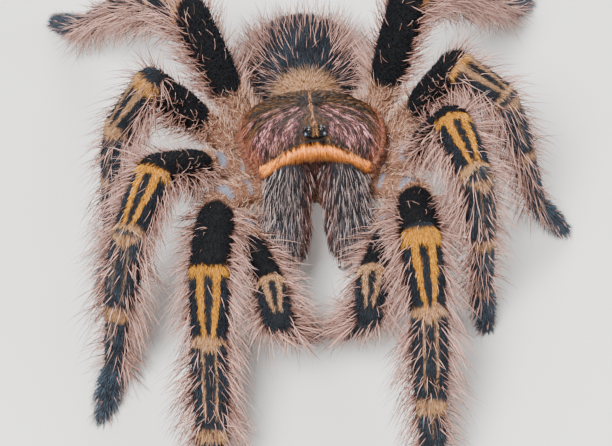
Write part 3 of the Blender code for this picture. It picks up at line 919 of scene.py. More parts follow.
def make_skin():
    depth = sizes().coat_depth
    flesh = []
    for bone in BONES:
        radii = tuple(max(radius - depth, 0.5 * MM) for radius in bone.radii)
        start, end = Vector(bone.start), Vector(bone.end)
        if bone.segment == COXA:
            start = start - (end - start).normalized() * 2.5 * MM
        if bone.segment == TARSUS:
            radii = (radii[0], radii[1], max(radii[2], 0.7 * MM))
        flesh.append(capsule(start, end, Vector(bone.across), radii))
        if bone.segment == COXA and bone.kind == "palp":
            flesh.append(capsule(start, PROSOMA @ LIP_ROOT, Vector(bone.across), radii[:1] * 3))
    inset = Vector((depth, depth, depth))
    flesh.append(egg(PROSOMA @ STERNUM_CENTRE, STERNUM_SIZE / 2 - inset, PROSOMA_TURN))
    half = Vector((ABDOMEN_WIDTH, ABDOMEN_LENGTH, ABDOMEN_HEIGHT)) / 2 - inset * 1.3
    flesh.append(egg(SHIFT + ABDOMEN_CENTRE, half, Matrix.Rotation(ABDOMEN_PITCH, 4, "X"), 48, 36))
    front = SHIFT + ABDOMEN_CENTRE - ABDOMEN_AXIS * (ABDOMEN_LENGTH / 2 - 3 * MM)
    rear = PROSOMA @ (STERNUM_CENTRE + Vector((0, 5 * MM, 0)))
    flesh.append(capsule(rear, front, Vector((1, 0, 0)), (PEDICEL_RADIUS - depth,) * 3))
    for sign in (1, -1):
        start, end = spinneret_ends(sign)
        flesh.append(capsule(start, end, Vector((1, 0, 0)),
                             (SPINNERET_RADIUS * 0.75, SPINNERET_RADIUS * 0.75, SPINNERET_RADIUS * 0.45)))
    skin = join(flesh, "skin")
    apply_modifier(skin, "REMESH", mode="VOXEL", voxel_size=sizes().skin_grain)
    apply_modifier(skin, "SMOOTH", factor=0.5, iterations=3)
    return skin


def paint_marks(mesh, site, extra):
    """Store the markings on the mesh: gold, cream, tan, and one more share."""
    store(mesh, "mark", np.column_stack((*markings(site), extra)))
    store(mesh, "slate", slate_sheen_share(site))


# ---------------------------------------------------------------- hairs

class Surface:
    """A mesh's triangles, to scatter roots on."""

    def __init__(self, item):
        mesh = item.data
        mesh.calc_loop_triangles()
        count = len(mesh.loop_triangles)
        corners = np.empty(count * 3, dtype=np.int32)
        mesh.loop_triangles.foreach_get("vertices", corners)
        self.corners = corners.reshape(-1, 3)
        self.points = points_of(mesh)
        normals = np.empty(len(mesh.vertices) * 3)
        mesh.vertices.foreach_get("normal", normals)
        self.normals = normals.reshape(-1, 3)
        a, b, c = (self.points[self.corners[:, i]] for i in range(3))
        self.areas = np.linalg.norm(np.cross(b - a, c - a), axis=1) / 2
        self.site = Site((a + b + c) / 3)

    def scatter(self, density, wanted, rng):
        """Sites and normals of random roots where wanted, density of them on each square millimetre."""
        areas = self.areas * wanted
        total = areas.sum()
        count = int(total / MM ** 2 * density)
        chosen = np.searchsorted(np.cumsum(areas), rng.random(count) * total)
        chosen = np.minimum(chosen, len(areas) - 1)
        first, second = np.sqrt(rng.random(count)), rng.random(count)
        weights = np.column_stack((1 - first, first * (1 - second), first * second))
        corners = self.corners[chosen]
        site = Site(np.einsum("ij,ijk->ik", weights, self.points[corners]))
        site.normals = unit(np.einsum("ij,ijk->ik", weights, self.normals[corners]))
        return site


class Strands:
    """Closed three-sided hairs, gathered into one piece."""
    PATCH = 0.003                   # size of a hair's patch on the bake map

    def __init__(self, name):
        self.name = name
        self.points, self.faces, self.patches, self.marks, self.tips, self.slate_sheens = [], [], [], [], [], []
        self.count = 0

    def grow(self, roots, heads, bends, lengths, widths, steps, marks, places, slate=None):
        """Hairs from roots along heads, curving by bends; steps rings each, and a point."""
        number = len(roots)
        if not number:
            return
        side = unit(np.cross(heads, bends + heads[:, (1, 2, 0)] * 0.05))
        columns = []
        tips = []
        for step in range(steps):
            share = step / steps
            spine = roots + lengths[:, None] * (heads * share + bends * share ** 2)
            ahead = unit(heads + 2 * share * bends)
            width = widths * (0.5 * (1 - share ** 1.7) + 0.02)
            over = np.cross(ahead, side)
            for corner in range(3):
                angle = math.tau * corner / 3
                ring = spine + width[:, None] * (side * math.cos(angle) + over * math.sin(angle))
                columns.append(ring)
                tips.append(share)
        columns.append(roots + lengths[:, None] * (heads + bends))
        tips.append(1.0)
        points = np.stack(columns, axis=1)
        points[:, :, 2] = np.maximum(points[:, :, 2], HAIR_CLEARANCE)
        faces, corners = self.template(steps)
        per = points.shape[1]
        starts = self.count + np.arange(number) * per
        self.faces.append((faces[None] + starts[:, None, None]).reshape(-1, 3))
        self.patches.append((places[:, None, None, :] + corners[None] * self.PATCH).reshape(-1, 2))
        self.points.append(points.reshape(-1, 3))
        self.tips.append(np.tile(tips, number))
        self.marks.append(np.repeat(marks, per, axis=0))
        self.slate_sheens.append(np.repeat(np.zeros(number) if slate is None else slate, per))
        self.count += number * per

    @staticmethod
    def template(steps):
        """Triangles of one hair, and each corner's place on its patch."""
        faces, corners = [[0, 2, 1]], [[(0, 0), (0.5, 0.1), (1, 0)]]
        for step in range(steps):
            for side in range(3):
                after = (side + 1) % 3
                low, high = step / steps, (step + 1) / steps
                left, right = side / 3, (side + 1) / 3
                a, b = 3 * step + side, 3 * step + after
                if step == steps - 1:
                    faces.append([a, b, 3 * steps])
                    corners.append([(left, low), (right, low), ((left + right) / 2, high)])
                else:
                    c, d = a + 3, b + 3
                    faces += [[a, b, d], [a, d, c]]
                    corners += [[(left, low), (right, low), (right, high)],
                                [(left, low), (right, high), (left, high)]]
        return np.array(faces), np.array(corners, dtype=float)

    def build(self, slot, material):
        """Make the piece from all that has grown."""
        points = np.concatenate(self.points)
        faces = np.concatenate(self.faces)
        mesh = bpy.data.meshes.new(self.name)
        mesh.vertices.add(len(points))
        mesh.vertices.foreach_set("co", points.astype(np.float32).ravel())
        mesh.loops.add(faces.size)
        mesh.loops.foreach_set("vertex_index", faces.astype(np.int32).ravel())
        mesh.polygons.add(len(faces))
        mesh.polygons.foreach_set("loop_start", np.arange(0, faces.size, 3, dtype=np.int32))
        mesh.update(calc_edges=True)
        layer = mesh.uv_layers.new(name="OFBake")
        layer.uv.foreach_set("vector", np.concatenate(self.patches).astype(np.float32).ravel())
        store(mesh, "mark", np.concatenate(self.marks))
        store(mesh, "tip", np.concatenate(self.tips))
        store(mesh, "slate", np.concatenate(self.slate_sheens))
        finish_piece(link_mesh(self.name, mesh), material)


def unwrap(site, parts):
    """Place on the bake map: a row for each limb or body part, length along it and angle up it."""
    row = np.searchsorted(np.array(sorted(parts)), site.part)
    along = 0.01 + 0.975 * np.clip(site.reach, 0, 1)
    around = (site.angle / math.tau + 0.5) % 1.0
    return np.column_stack((along, (row + 0.02 + 0.93 * around) / len(parts)))


def with_tone(site, rng):
    """The markings of each hair, and a random tone as their fourth share."""
    return np.column_stack((*markings(site), rng.random(len(site.points))))


def directions(site, rng, lift, swing):
    """Hair directions: along the lie of the coat, lifted from the skin and swung about."""
    normals = site.normals
    lie = unit(site.way - normals * dots(site.way, normals)[:, None] + 1e-9)
    lie = swung(lie, normals, rng.normal(0, swing, len(lie)))
    return lifted(lie, normals, lift), lie


def lift_angles(rng, count, mean, scatter, low, high):
    """How steeply hairs stand, in radians, from degrees."""
    return np.radians(np.clip(rng.normal(mean, scatter, count), low, high))


def cover(name, site, parts, rng, shape, look, slate=None):
    """Grow one piece of coat from the site's points. The shape is its roots' depth, heads, bends, lengths,
    widths and steps, and the look its slot, which is not used, and its material."""
    depth, heads, bends, lengths, widths, steps = shape
    strands = Strands(name)
    strands.grow(site.points - site.normals * depth * MM, heads, bends, lengths, widths, steps,
                 with_tone(site, rng), unwrap(site, parts), slate)
    strands.build(*look)


LIMB_GROUPS = {
    "front": (0, 1),
    "second": (2, 3),
    "third": (4, 5),
    "hind": (6, 7),
    "palps": (8, 9),
}


def grow_velvet(surface, name, parts, seed):
    """Short flat fur of the limbs, black, gold and cream; the bright marks stand thicker."""
    rng = np.random.default_rng(seed)
    wanted = np.isin(surface.site.part, parts) & (surface.site.segment >= FEMUR)
    site = surface.scatter(sizes().velvet_density * 1.6, wanted, rng)
    gold, cream, _ = markings(site)
    bright = np.maximum(gold, cream)
    wish = (1 + 0.6 * bright) / 1.6
    wish *= np.isin(site.part, parts) * (site.segment >= FEMUR)
    chosen = rng.random(len(wish)) < wish
    site, bright = site.pick(chosen), bright[chosen]
    count = len(bright)
    foot = site.segment == TARSUS
    below = ramp(np.abs(site.angle), math.radians(50), math.radians(110)) * foot
    lift = np.radians(rng.normal(24, 7, count) + 6 * bright + 8 * foot + 22 * below)
    heads, lie = directions(site, rng, lift, np.where(bright > 0.3, 0.12, 0.25))
    lengths = sizes().velvet_length * rng.uniform(0.7, 1.25, count) * np.where(foot, 1.35 + 0.75 * below, 1.0)
    widths = sizes().velvet_width * rng.uniform(0.7, 1.2, count)
    cover(name, site, parts, rng, (SHORT_ROOT, heads, lie * 0.15, lengths, widths, 1),
          ("leg_black", "velvet_fur"), slate_sheen_share(site))


def bristle_wish(site):
    """How thick the long hairs stand: thin on top, thick at the sides and below."""
    side = np.abs(site.angle)
    wish = 0.05 + 0.95 * ramp(side, math.radians(48), math.radians(85))
    wish *= 1 - 0.35 * ramp(side, math.radians(130), math.radians(170))
    outer = (site.segment >= TIBIA) * 0.24
    wish = np.maximum(wish, outer)
    wish *= np.where(site.segment == TARSUS, 0.3, 1.0)
    wish *= np.where(site.kind == 5, 1.25, 1.0)
    wish *= (site.segment >= FEMUR)
    wish *= 1 - 0.6 * (site.segment == FEMUR) * ramp(site.share, 0.25, 0.0)
    return wish


def grow_bristles(surface, name, parts, seed):
    """Long curved hairs that stand out from the limbs."""
    rng = np.random.default_rng(seed)
    wanted = np.isin(surface.site.part, parts) & (surface.site.segment >= FEMUR)
    site = surface.scatter(sizes().bristle_density, wanted, rng)
    site = site.pick((rng.random(len(site.points)) < bristle_wish(site)) & np.isin(site.part, parts))
    count = len(site.points)
    flow = waves(site.points, 9 * MM, seed + 1)
    lift = np.radians(np.clip(rng.normal(56, 11, count) + 8 * flow, 15, 88))
    heads, lie = directions(site, rng, lift, 0.35)
    scale = np.select([site.segment == FEMUR, site.segment == PATELLA, site.segment == TIBIA,
                       site.segment == METATARSUS, site.segment == TARSUS],
                      [0.85, 0.9, 1.0, 0.9, 0.45], 0.6)
    top = ramp(np.abs(site.angle), math.radians(75), math.radians(40))
    scale *= 1 - 0.45 * top
    lengths = sizes().bristle_length * scale * rng.uniform(0.45, 1.2, count)
    bends = lie * rng.uniform(0.08, 0.5, count)[:, None]
    bends = bends - site.normals * rng.uniform(0.0, 0.2, count)[:, None]
    bends += np.cross(site.normals, lie) * rng.normal(0, 0.12, count)[:, None]
    bends[:, 2] -= 0.05
    widths = sizes().bristle_width * rng.uniform(0.75, 1.15, count)
    cover(name, site, parts, rng, (LONG_ROOT, heads, bends, lengths, widths, 4), ("leg_black", "bristle"))


def near_body(site, reach):
    """Whether each point is on a coxa, a trochanter, the breast or the first share of a femur."""
    near = (site.segment >= COXA) & (site.segment <= TROCHANTER)
    return near | (site.segment == FEMUR) & (site.share < reach) | (site.part == TRUNK)


def grow_hips(surface, seed):
    """Tan fur of coxae, trochanters and breast."""
    rng = np.random.default_rng(seed)
    site = surface.scatter(DENSITIES["hips"], near_body(surface.site, 0.2), rng)
    site = site.pick(near_body(site, 0.17) & (rng.random(len(site.points)) < 1 - bare_skin(site) * 0.95))
    count = len(site.points)
    heads, lie = directions(site, rng, lift_angles(rng, count, 38, 14, 10, 80), 0.5)
    joint = (site.segment >= COXA) & (site.segment <= FEMUR) & np.isin(site.kind, (1, 2, 5))
    lengths = rng.uniform(1.4, 4.4, count) * MM * (1 - 0.5 * joint * ramp(np.cos(site.angle), 0.1, 0.5))
    bends = lie * rng.uniform(0.0, 0.3, count)[:, None]
    bends[:, 2] += rng.normal(0.0, 0.12, count)
    widths = rng.uniform(0.10, 0.16, count) * MM
    cover("coat_hips", site, range(TRUNK + 1), rng, (LONG_ROOT, heads, bends, lengths, widths, 3),
          ("hip_tan", "hip_fur"))


def grow_abdomen(surface, seed):
    """Black velvet of the abdomen, and long pale hairs over it."""
    rng = np.random.default_rng(seed)
    wanted = surface.site.part == ABDOMEN
    site = surface.scatter(DENSITIES["abdomen_velvet"], wanted, rng)
    site = site.pick(site.part == ABDOMEN)
    count = len(site.points)
    heads, lie = directions(site, rng, lift_angles(rng, count, 28, 8, 5, 60), 0.3)
    lengths = rng.uniform(1.2, 2.2, count) * MM * (1 - 0.25 * ramp(site.share, 0.3, 0.1))
    lengths *= 1 - 0.6 * on_spinnerets(site.points)
    widths = rng.uniform(0.12, 0.2, count) * MM
    cover("coat_abdomen_velvet", site, (ABDOMEN,), rng, (SHORT_ROOT, heads, lie * 0.15, lengths, widths, 1),
          ("abdomen_black", "velvet_fur"), slate_sheen_share(site))

    site = surface.scatter(DENSITIES["abdomen_long"], wanted, rng)
    side = ramp(np.abs(site.angle), math.radians(15), math.radians(75))
    front = ramp(site.share, 0.34, 0.14)
    wish = (0.2 + 0.8 * side) * (1 - 0.6 * front)
    chosen = (site.part == ABDOMEN) & (rng.random(len(wish)) < wish) & ~on_spinnerets(site.points)
    site, front = site.pick(chosen), front[chosen]
    count = len(front)
    heads, lie = directions(site, rng, lift_angles(rng, count, 46, 12, 15, 80), 0.3)
    lengths = rng.uniform(3.0, 7.5, count) * MM * (1 - 0.55 * front)
    lengths *= 1 - 0.5 * ramp(site.share, 0.88, 0.97)
    bends = lie * rng.uniform(0.1, 0.4, count)[:, None]
    widths = rng.uniform(0.10, 0.15, count) * MM
    cover("coat_abdomen_long", site, (ABDOMEN,), rng, (LONG_ROOT, heads, bends, lengths, widths, 3),
          ("abdomen_black", "bristle"))


# ---------------------------------------------------------------- carapace

def carapace_half_width(y):
    half = CARAPACE_WIDTH / 2
    front = np.clip((CARAPACE_WIDEST - y) / (CARAPACE_WIDEST + CARAPACE_LENGTH / 2), 0, 1)
    rear = np.clip((y - CARAPACE_WIDEST) / (CARAPACE_LENGTH / 2 - CARAPACE_WIDEST), 0, 1)
    return np.where(y < CARAPACE_WIDEST, half - (half - CARAPACE_FRONT_WIDTH / 2) * front ** 2.2,
                    half - (half - CARAPACE_REAR_WIDTH / 2) * rear ** 2.6)


def carapace_ridge(y):
    front = -CARAPACE_LENGTH / 2
    share = ramp(y, -9 * MM, FOVEA_PLACE)
    brow = 0.5 * MM * ramp(y, front + 2.5 * MM, front)
    head = HEAD_HEIGHT + (FOVEA_HEIGHT - HEAD_HEIGHT) * share - brow
    back = np.clip((y - FOVEA_PLACE) / (CARAPACE_LENGTH / 2 - FOVEA_PLACE), 0, 1)
    rear = FOVEA_HEIGHT + (REAR_HEIGHT - FOVEA_HEIGHT) * back ** 1.8
    return np.where(y < FOVEA_PLACE, head, rear)


def polar_about_fovea(x, y):
    """Angle from straight forward, and distance, of places on the carapace."""
    return np.arctan2(np.abs(x), -(y - FOVEA_PLACE)), np.hypot(x, y - FOVEA_PLACE)


GROOVES = (0.52, 1.12, 1.62, 2.1, 2.55)     # angles of the radiating furrows, in radians


def groove_depth(x, y):
    """Depth of the furrows and of the fovea, from 0 to 1."""
    angle, distance = polar_about_fovea(x, y)
    depth = np.zeros_like(angle)
    for index, furrow in enumerate(GROOVES):
        width = (0.085 if index == 0 else 0.06)
        reach = ramp(distance, 1.2 * MM, 3.5 * MM) * ramp(distance, 13 * MM, 8 * MM)
        depth = np.maximum(depth, np.exp(-((angle - furrow) / width) ** 2) * reach)
    pit = np.exp(-(x / (1.3 * MM)) ** 2 - ((y - FOVEA_PLACE) / (0.9 * MM)) ** 2)
    return np.maximum(depth, pit * 1.3)


def carapace_height(x, y):
    """Top of the carapace over its rim's plane."""
    across = np.clip(np.abs(x) / carapace_half_width(y), 0, 1)
    top = RIM + carapace_ridge(y) * (1 - across ** 2.3) ** 0.8
    inner = ramp(across, 0.98, 0.7)
    return top - 0.12 * MM - 0.42 * MM * groove_depth(x, y) * inner


def carapace_bottom(x, y):
    across = np.clip(np.abs(x) / carapace_half_width(y), 0, 1)
    arch = ramp(1 - (y + CARAPACE_LENGTH / 2) / ARCH_DEPTH, 0, 1)
    rise = (carapace_ridge(y) - BROW_THICKNESS + 2 * RIM) * (1 - across ** 2.8) ** 0.8
    return -RIM + np.maximum(rise, 0) * arch


def shell_bands(x, y):
    """Shares of pink, gold and red over the carapace's dark ground."""
    angle, distance = polar_about_fovea(x, y)
    away = distance / MM
    wobble = 0.05 * np.sin(away * 0.9 + 2.0) + 0.03 * np.sin(away * 2.3)
    angle = angle + wobble * 0.6
    head = ramp(y, FOVEA_PLACE + 1 * MM, FOVEA_PLACE - 2 * MM)
    pink = np.exp(-((angle - 0.78) / 0.17) ** 2) + 0.8 * np.exp(-((angle - 0.34) / 0.12) ** 2)
    pink += 0.55 * np.exp(-((angle - 1.32) / 0.10) ** 2)
    pink += 0.4 * np.exp(-((angle - 0.5) / 0.25) ** 2) * ramp(away, 9.0, 12.0)
    pink *= ramp(away, 1.5, 4) * ramp(away, 19, 15) * head
    gold = 0.6 + 0.4 * np.sin(angle * 19 + 0.6 + 0.5 * np.sin(away * 1.1)) - 0.6 * pink
    gold = np.clip(gold, 0, 1) * ramp(away, 0.8, 3)
    brim = ramp(y, -13.5 * MM, -12.6 * MM)
    gold *= brim
    pink *= brim
    streak = ramp(np.sin(angle * 61 + 1.3 * np.sin(away * 0.8 + angle * 7)), -0.45, 0.35)
    gold *= 0.25 + 0.75 * streak
    pink *= 0.35 + 0.65 * streak
    across = np.abs(x) / carapace_half_width(y)
    red = ramp(across, 0.80, 0.97) * ramp(y, -13.5 * MM, -10 * MM)
    dark = groove_depth(x, y)
    return (np.clip(pink * (1 - dark * 0.8), 0, 1), np.clip(gold * (1 - dark * 0.85) * 0.8, 0, 1),
            np.clip(red, 0, 1) * 0.8)


def prosoma_points(x, y, z):
    return moved(np.column_stack((x, y, z)), PROSOMA)


def turn_to_row(x, y, z):
    """Directions from the prosoma's frame to the row's."""
    return np.column_stack((x, y, z)) @ np.array(PROSOMA)[:3, :3].T


def make_carapace():
    """Domed shell with furrows, shaped from a ball: its upper half is the top, its lower the underside."""
    item = new_sphere("carapace_shell", 128, 96)
    ball = points_of(item.data)
    radial = np.hypot(ball[:, 0], ball[:, 1])
    across = np.where(radial > 1e-6, ball[:, 0] / np.maximum(radial, 1e-6), 0)
    along = np.where(radial > 1e-6, ball[:, 1] / np.maximum(radial, 1e-6), 0)
    spread = np.arcsin(np.clip(radial, 0, 1)) / (math.pi / 2)
    y = along * spread * CARAPACE_LENGTH / 2
    half = carapace_half_width(y)
    chord = np.sqrt(np.maximum(1 - (y / (CARAPACE_LENGTH / 2)) ** 2, 1e-9))
    x = across * spread / np.maximum(chord, 1e-6) * half
    x = np.clip(x, -half, half)
    top = ball[:, 2] >= -1e-6
    z = np.where(top, carapace_height(x, y), carapace_bottom(x, y))
    edge = np.abs(ball[:, 2]) < 1e-5
    z = np.where(edge, 0.5 * (carapace_height(x, y) + carapace_bottom(x, y)), z)
    place_points(item.data, prosoma_points(x, y, z))
    bands = (share * top for share in shell_bands(x, y))
    store(item.data, "mark", np.column_stack((*bands, groove_depth(x, y))))
    return item


def shell_roots(density, rng):
    """Random places x and y on the carapace's top."""
    count = int(CARAPACE_LENGTH * CARAPACE_WIDTH / MM ** 2 * density)
    x = rng.uniform(-0.5, 0.5, count) * CARAPACE_WIDTH
    y = rng.uniform(-0.5, 0.5, count) * CARAPACE_LENGTH
    inside = np.abs(x) < carapace_half_width(y) * 0.985
    return x[inside], y[inside]


def shell_normals(x, y):
    step = 0.15 * MM
    along_x = (carapace_height(x + step, y) - carapace_height(x - step, y)) / (2 * step)
    along_y = (carapace_height(x, y + step) - carapace_height(x, y - step)) / (2 * step)
    local = unit(np.column_stack((-along_x, -along_y, np.ones_like(x))))
    return local @ np.array(PROSOMA)[:3, :3].T


def shell_places(x, y):
    """Place on the bake map, as seen from above."""
    return np.column_stack((0.02 + 0.95 * (x / CARAPACE_WIDTH + 0.5),
                            0.02 + 0.95 * (y / CARAPACE_LENGTH + 0.5)))


def grow_shell_fur(seed):
    """Flat hairs that run out from the fovea over the carapace."""
    rng = np.random.default_rng(seed)
    x, y = shell_roots(DENSITIES["carapace"], rng)
    mound = np.hypot(x / (MOUND_WIDTH * 0.49), (y - MOUND_PLACE) / (MOUND_LENGTH * 0.48)) < 1
    keep = ~mound & (rng.random(len(x)) < 1 - 0.75 * groove_depth(x, y))
    x, y = x[keep], y[keep]
    normals = shell_normals(x, y)
    points = prosoma_points(x, y, carapace_height(x, y))
    out_x, out_y = x, y - FOVEA_PLACE
    reach = np.maximum(np.hypot(out_x, out_y), 1e-6)
    forward = ramp(reach, 4 * MM, 12 * MM) * 0.35 * (y < FOVEA_PLACE)
    way = unit(turn_to_row(out_x / reach, out_y / reach - forward, np.zeros_like(x)))
    count = len(x)
    turn = rng.normal(0, 0.16, count) + 0.12 * waves(points, 5 * MM, seed + 2)
    lie = swung(flat(way, normals), normals, turn)
    heads = lifted(lie, normals, np.radians(rng.uniform(5, 15, count)))
    lengths = rng.uniform(0.9, 2.2, count) * MM
    pink, gold, red = shell_bands(x, y)
    chance = rng.random(count)
    tone = rng.random(count)
    clump = ramp(waves(points, 1.6 * MM, seed + 5) + 0.5 * rng.normal(0, 0.5, count), -0.5, 0.2)
    rosy = pink * (chance < 0.75) * clump
    marks = np.column_stack((rosy, gold * (chance < 0.85), red * (chance < 0.8),
                             np.where(rosy > 0.4, 0.3 + 0.7 * tone, 0.8 * tone)))
    strands = Strands("coat_carapace")
    strands.grow(points - normals * SHORT_ROOT * MM, heads, -normals * 0.16, lengths,
                 rng.uniform(0.09, 0.15, count) * MM, 2, marks, shell_places(x, y))
    strands.build("carapace_brown", "shell_fur")


def grow_mound_fur(strands, rng):
    """Short hairs of the eye mound, dark at its sides and golden down its middle, clear of the eyes."""
    count = COUNTS["mound"]
    turn, reach = rng.uniform(0, math.tau, count), np.sqrt(rng.random(count)) * 0.97
    across = np.cos(turn) * reach * MOUND_WIDTH / 2
    along = np.sin(turn) * reach * MOUND_LENGTH / 2
    clear = np.ones(count, dtype=bool)
    for eye_across, eye_along, radius in EYES.values():
        clear &= np.hypot(np.abs(across) - eye_across, along - eye_along) > radius * 1.05
    across, along = across[clear], along[clear]
    count = len(across)
    fill = 1 - (2 * across / MOUND_WIDTH) ** 2 - (2 * along / MOUND_LENGTH) ** 2
    height = MOUND_HEIGHT * np.sqrt(np.maximum(fill, 0.0))
    points = prosoma_points(across, MOUND_PLACE + along, mound_base() + height - 0.1 * MM)
    normals = unit(turn_to_row(4 * across / MOUND_WIDTH ** 2, 4 * along / MOUND_LENGTH ** 2,
                               np.maximum(height, 0.1 * MM) / MOUND_HEIGHT ** 2))
    way = turn_to_row(rng.normal(0, 0.25, count) + 0.5 * np.sign(across), -np.ones(count), np.zeros(count))
    heads = unit(flat(way, normals) + normals * rng.uniform(0.1, 0.5, count)[:, None])
    middle = (np.abs(across) < 0.35 * MM) & (rng.random(count) < 0.75)
    none = np.zeros(count)
    marks = np.column_stack((none, middle, none, 0.15 + 0.7 * rng.random(count)))
    strands.grow(points, heads, -normals * 0.2, rng.uniform(0.45, 0.95, count) * MM,
                 rng.uniform(0.06, 0.09, count) * MM, 2, marks, shell_places(across, MOUND_PLACE + along))


def grow_rim(seed):
    """Reddish fringe round the carapace's rim, and the midline's golden hairs."""
    rng = np.random.default_rng(seed)
    count = COUNTS["rim"]
    y = (rng.random(count) ** 0.9 - 0.5) * CARAPACE_LENGTH
    sign = np.where(rng.random(count) < 0.5, 1, -1)
    inset = rng.uniform(0.965, 1.0, count)
    x = sign * carapace_half_width(y) * inset
    z = carapace_height(x, y) * (inset < 0.985) + 0.1 * MM
    points = prosoma_points(x, y, z)
    slope = (carapace_half_width(y + 0.2 * MM) - carapace_half_width(y - 0.2 * MM)) / (0.4 * MM)
    out = unit(turn_to_row(sign, -slope, -0.15 - 0.25 * rng.random(count)))
    heads = unit(out + rng.normal(0, 0.22, (count, 3)))
    bends = turn_to_row(np.zeros(count), np.full(count, -0.1), np.full(count, -0.25))
    lengths = rng.uniform(0.4, 1.3, count) * MM
    marks = np.column_stack((0.25 * rng.random(count), 0.8 * rng.random(count), 0.9 * rng.random(count),
                             0.1 + 0.6 * rng.random(count)))
    strands = Strands("coat_rim")
    strands.grow(points, heads, bends, lengths, rng.uniform(0.06, 0.10, count) * MM, 3, marks,
                 shell_places(x, y))

    count = COUNTS["midline"]
    y = rng.uniform(MOUND_PLACE - 0.5 * MM, 9 * MM, count)
    x = rng.normal(0, 0.10 * MM, count)
    points = prosoma_points(x, y, carapace_height(x, y) + 0.15 * MM)
    heads = unit(turn_to_row(rng.normal(0, 0.2, count), -np.ones(count), np.full(count, 0.3)))
    none = np.zeros(count)
    marks = np.column_stack((0.3 * rng.random(count), none + 1, none, 0.6 + 0.4 * rng.random(count)))
    grow_mound_fur(strands, rng)
    strands.grow(points, heads, -turn_to_row(none, none, none + 1) * 0.2, rng.uniform(0.8, 1.8, count) * MM,
                 rng.uniform(0.09, 0.13, count) * MM, 3, marks, shell_places(x, y))
    strands.build("carapace_brown", "shell_fur")


def grow_brow(seed):
    """Orange brush that hangs from the carapace's front edge over the jaws."""
    rng = np.random.default_rng(seed)
    count = COUNTS["brow"]
    across = rng.uniform(-0.98, 0.98, count)
    front = -CARAPACE_LENGTH / 2
    y = front + rng.uniform(0.0, 1.0, count) * (0.6 + 2.0 * across ** 8) * MM
    x = across * carapace_half_width(y) * 0.94
    low, high = carapace_bottom(x, y), carapace_height(x, y)
    z = low + (high - low) * rng.uniform(0.3, 0.9, count)
    points = prosoma_points(x, np.where(np.abs(across) < 0.8, front + 0.1 * MM, y), z)
    sideways = across * 0.25 + across ** 5 * 0.35 + rng.normal(0, 0.1, count)
    upwards = -0.75 + 0.35 * across ** 4 + rng.normal(0, 0.16, count)
    heads = unit(turn_to_row(sideways, np.full(count, -0.75), upwards))
    bends = turn_to_row(np.zeros(count), np.full(count, 0.1), np.full(count, -0.35))
    lengths = rng.uniform(1.6, 2.8, count) * MM * (1 - 0.5 * across ** 8)
    marks = np.column_stack((np.zeros((count, 3)), 0.25 + 0.6 * rng.random(count)))
    strands = Strands("coat_brow")
    strands.grow(points, heads, bends, lengths, rng.uniform(0.10, 0.15, count) * MM, 2, marks,
                 np.column_stack((0.02 + 0.95 * (across + 1) / 2, 0.02 + 0.9 * (z - low) / (high - low))))
    strands.build("carapace_brown", "brow_fur")


# ---------------------------------------------------------------- eyes

def mound_base():
    return float(carapace_ridge(np.array(MOUND_PLACE))) + RIM + MOUND_GAP


def make_mound():
    """Low eye mound whose foot runs into the carapace."""
    item = new_sphere("eye_hill", 48, 32)
    ball = points_of(item.data)
    x = ball[:, 0] * MOUND_WIDTH / 2
    y = MOUND_PLACE + ball[:, 1] * MOUND_LENGTH / 2
    z = np.where(ball[:, 2] >= 0, mound_base() + ball[:, 2] * (MOUND_HEIGHT - 0.05 * MM),
                 mound_base() + ball[:, 2] * 1.2 * MM)
    place_points(item.data, prosoma_points(x, y, z))
    return item


def eye_place(across, along):
    """Centre of an eye on the mound, and the way it looks."""
    fill = 1 - (2 * across / MOUND_WIDTH) ** 2 - (2 * along / MOUND_LENGTH) ** 2
    height = MOUND_HEIGHT * math.sqrt(max(fill, 0.02))
    out = Vector((4 * across / MOUND_WIDTH ** 2, 4 * along / MOUND_LENGTH ** 2, height / MOUND_HEIGHT ** 2))
    return Vector((across, MOUND_PLACE + along, mound_base() + height)), out.normalized()


def make_eyes():
    for pair, (across, along, radius) in EYES.items():
        for side, sign in (("left", 1), ("right", -1)):
            centre, out = eye_place(sign * across, along)
            item = egg(PROSOMA @ (centre - out * radius * 0.2), (radius, radius, radius * 0.85),
                       PROSOMA_TURN @ out.to_track_quat("Z", "Y").to_matrix().to_4x4(), 24, 16)
            item.name = item.data.name = f"lens_{pair}_{side}"
            pale = pair in ("front_side", "rear_middle")
            finish_piece(item, "eye_pearl" if pale else "eye_dark", (f"eye_{pair}_{side}",))


# ---------------------------------------------------------------- jaws

def loft_rings(name, rings):
    """Closed tube through rings of equal count, in the row's frame."""
    count = len(rings[0])
    points = np.concatenate([*rings, [np.mean(rings[0], axis=0)], [np.mean(rings[-1], axis=0)]])
    faces = []
    for ring in range(len(rings) - 1):
        for side in range(count):
            after = (side + 1) % count
            faces.append((ring * count + side, ring * count + after,
                          (ring + 1) * count + after, (ring + 1) * count + side))
    low, high = len(rings) * count, len(rings) * count + 1
    for side in range(count):
        after = (side + 1) % count
        faces.append((after, side, low))
        faces.append(((len(rings) - 1) * count + side, (len(rings) - 1) * count + after, high))
    mesh = bpy.data.meshes.new(name)
    mesh.from_pydata([tuple(point) for point in points], [], faces)
    item = link_mesh(name, mesh)
    face_outwards(item)
    return item


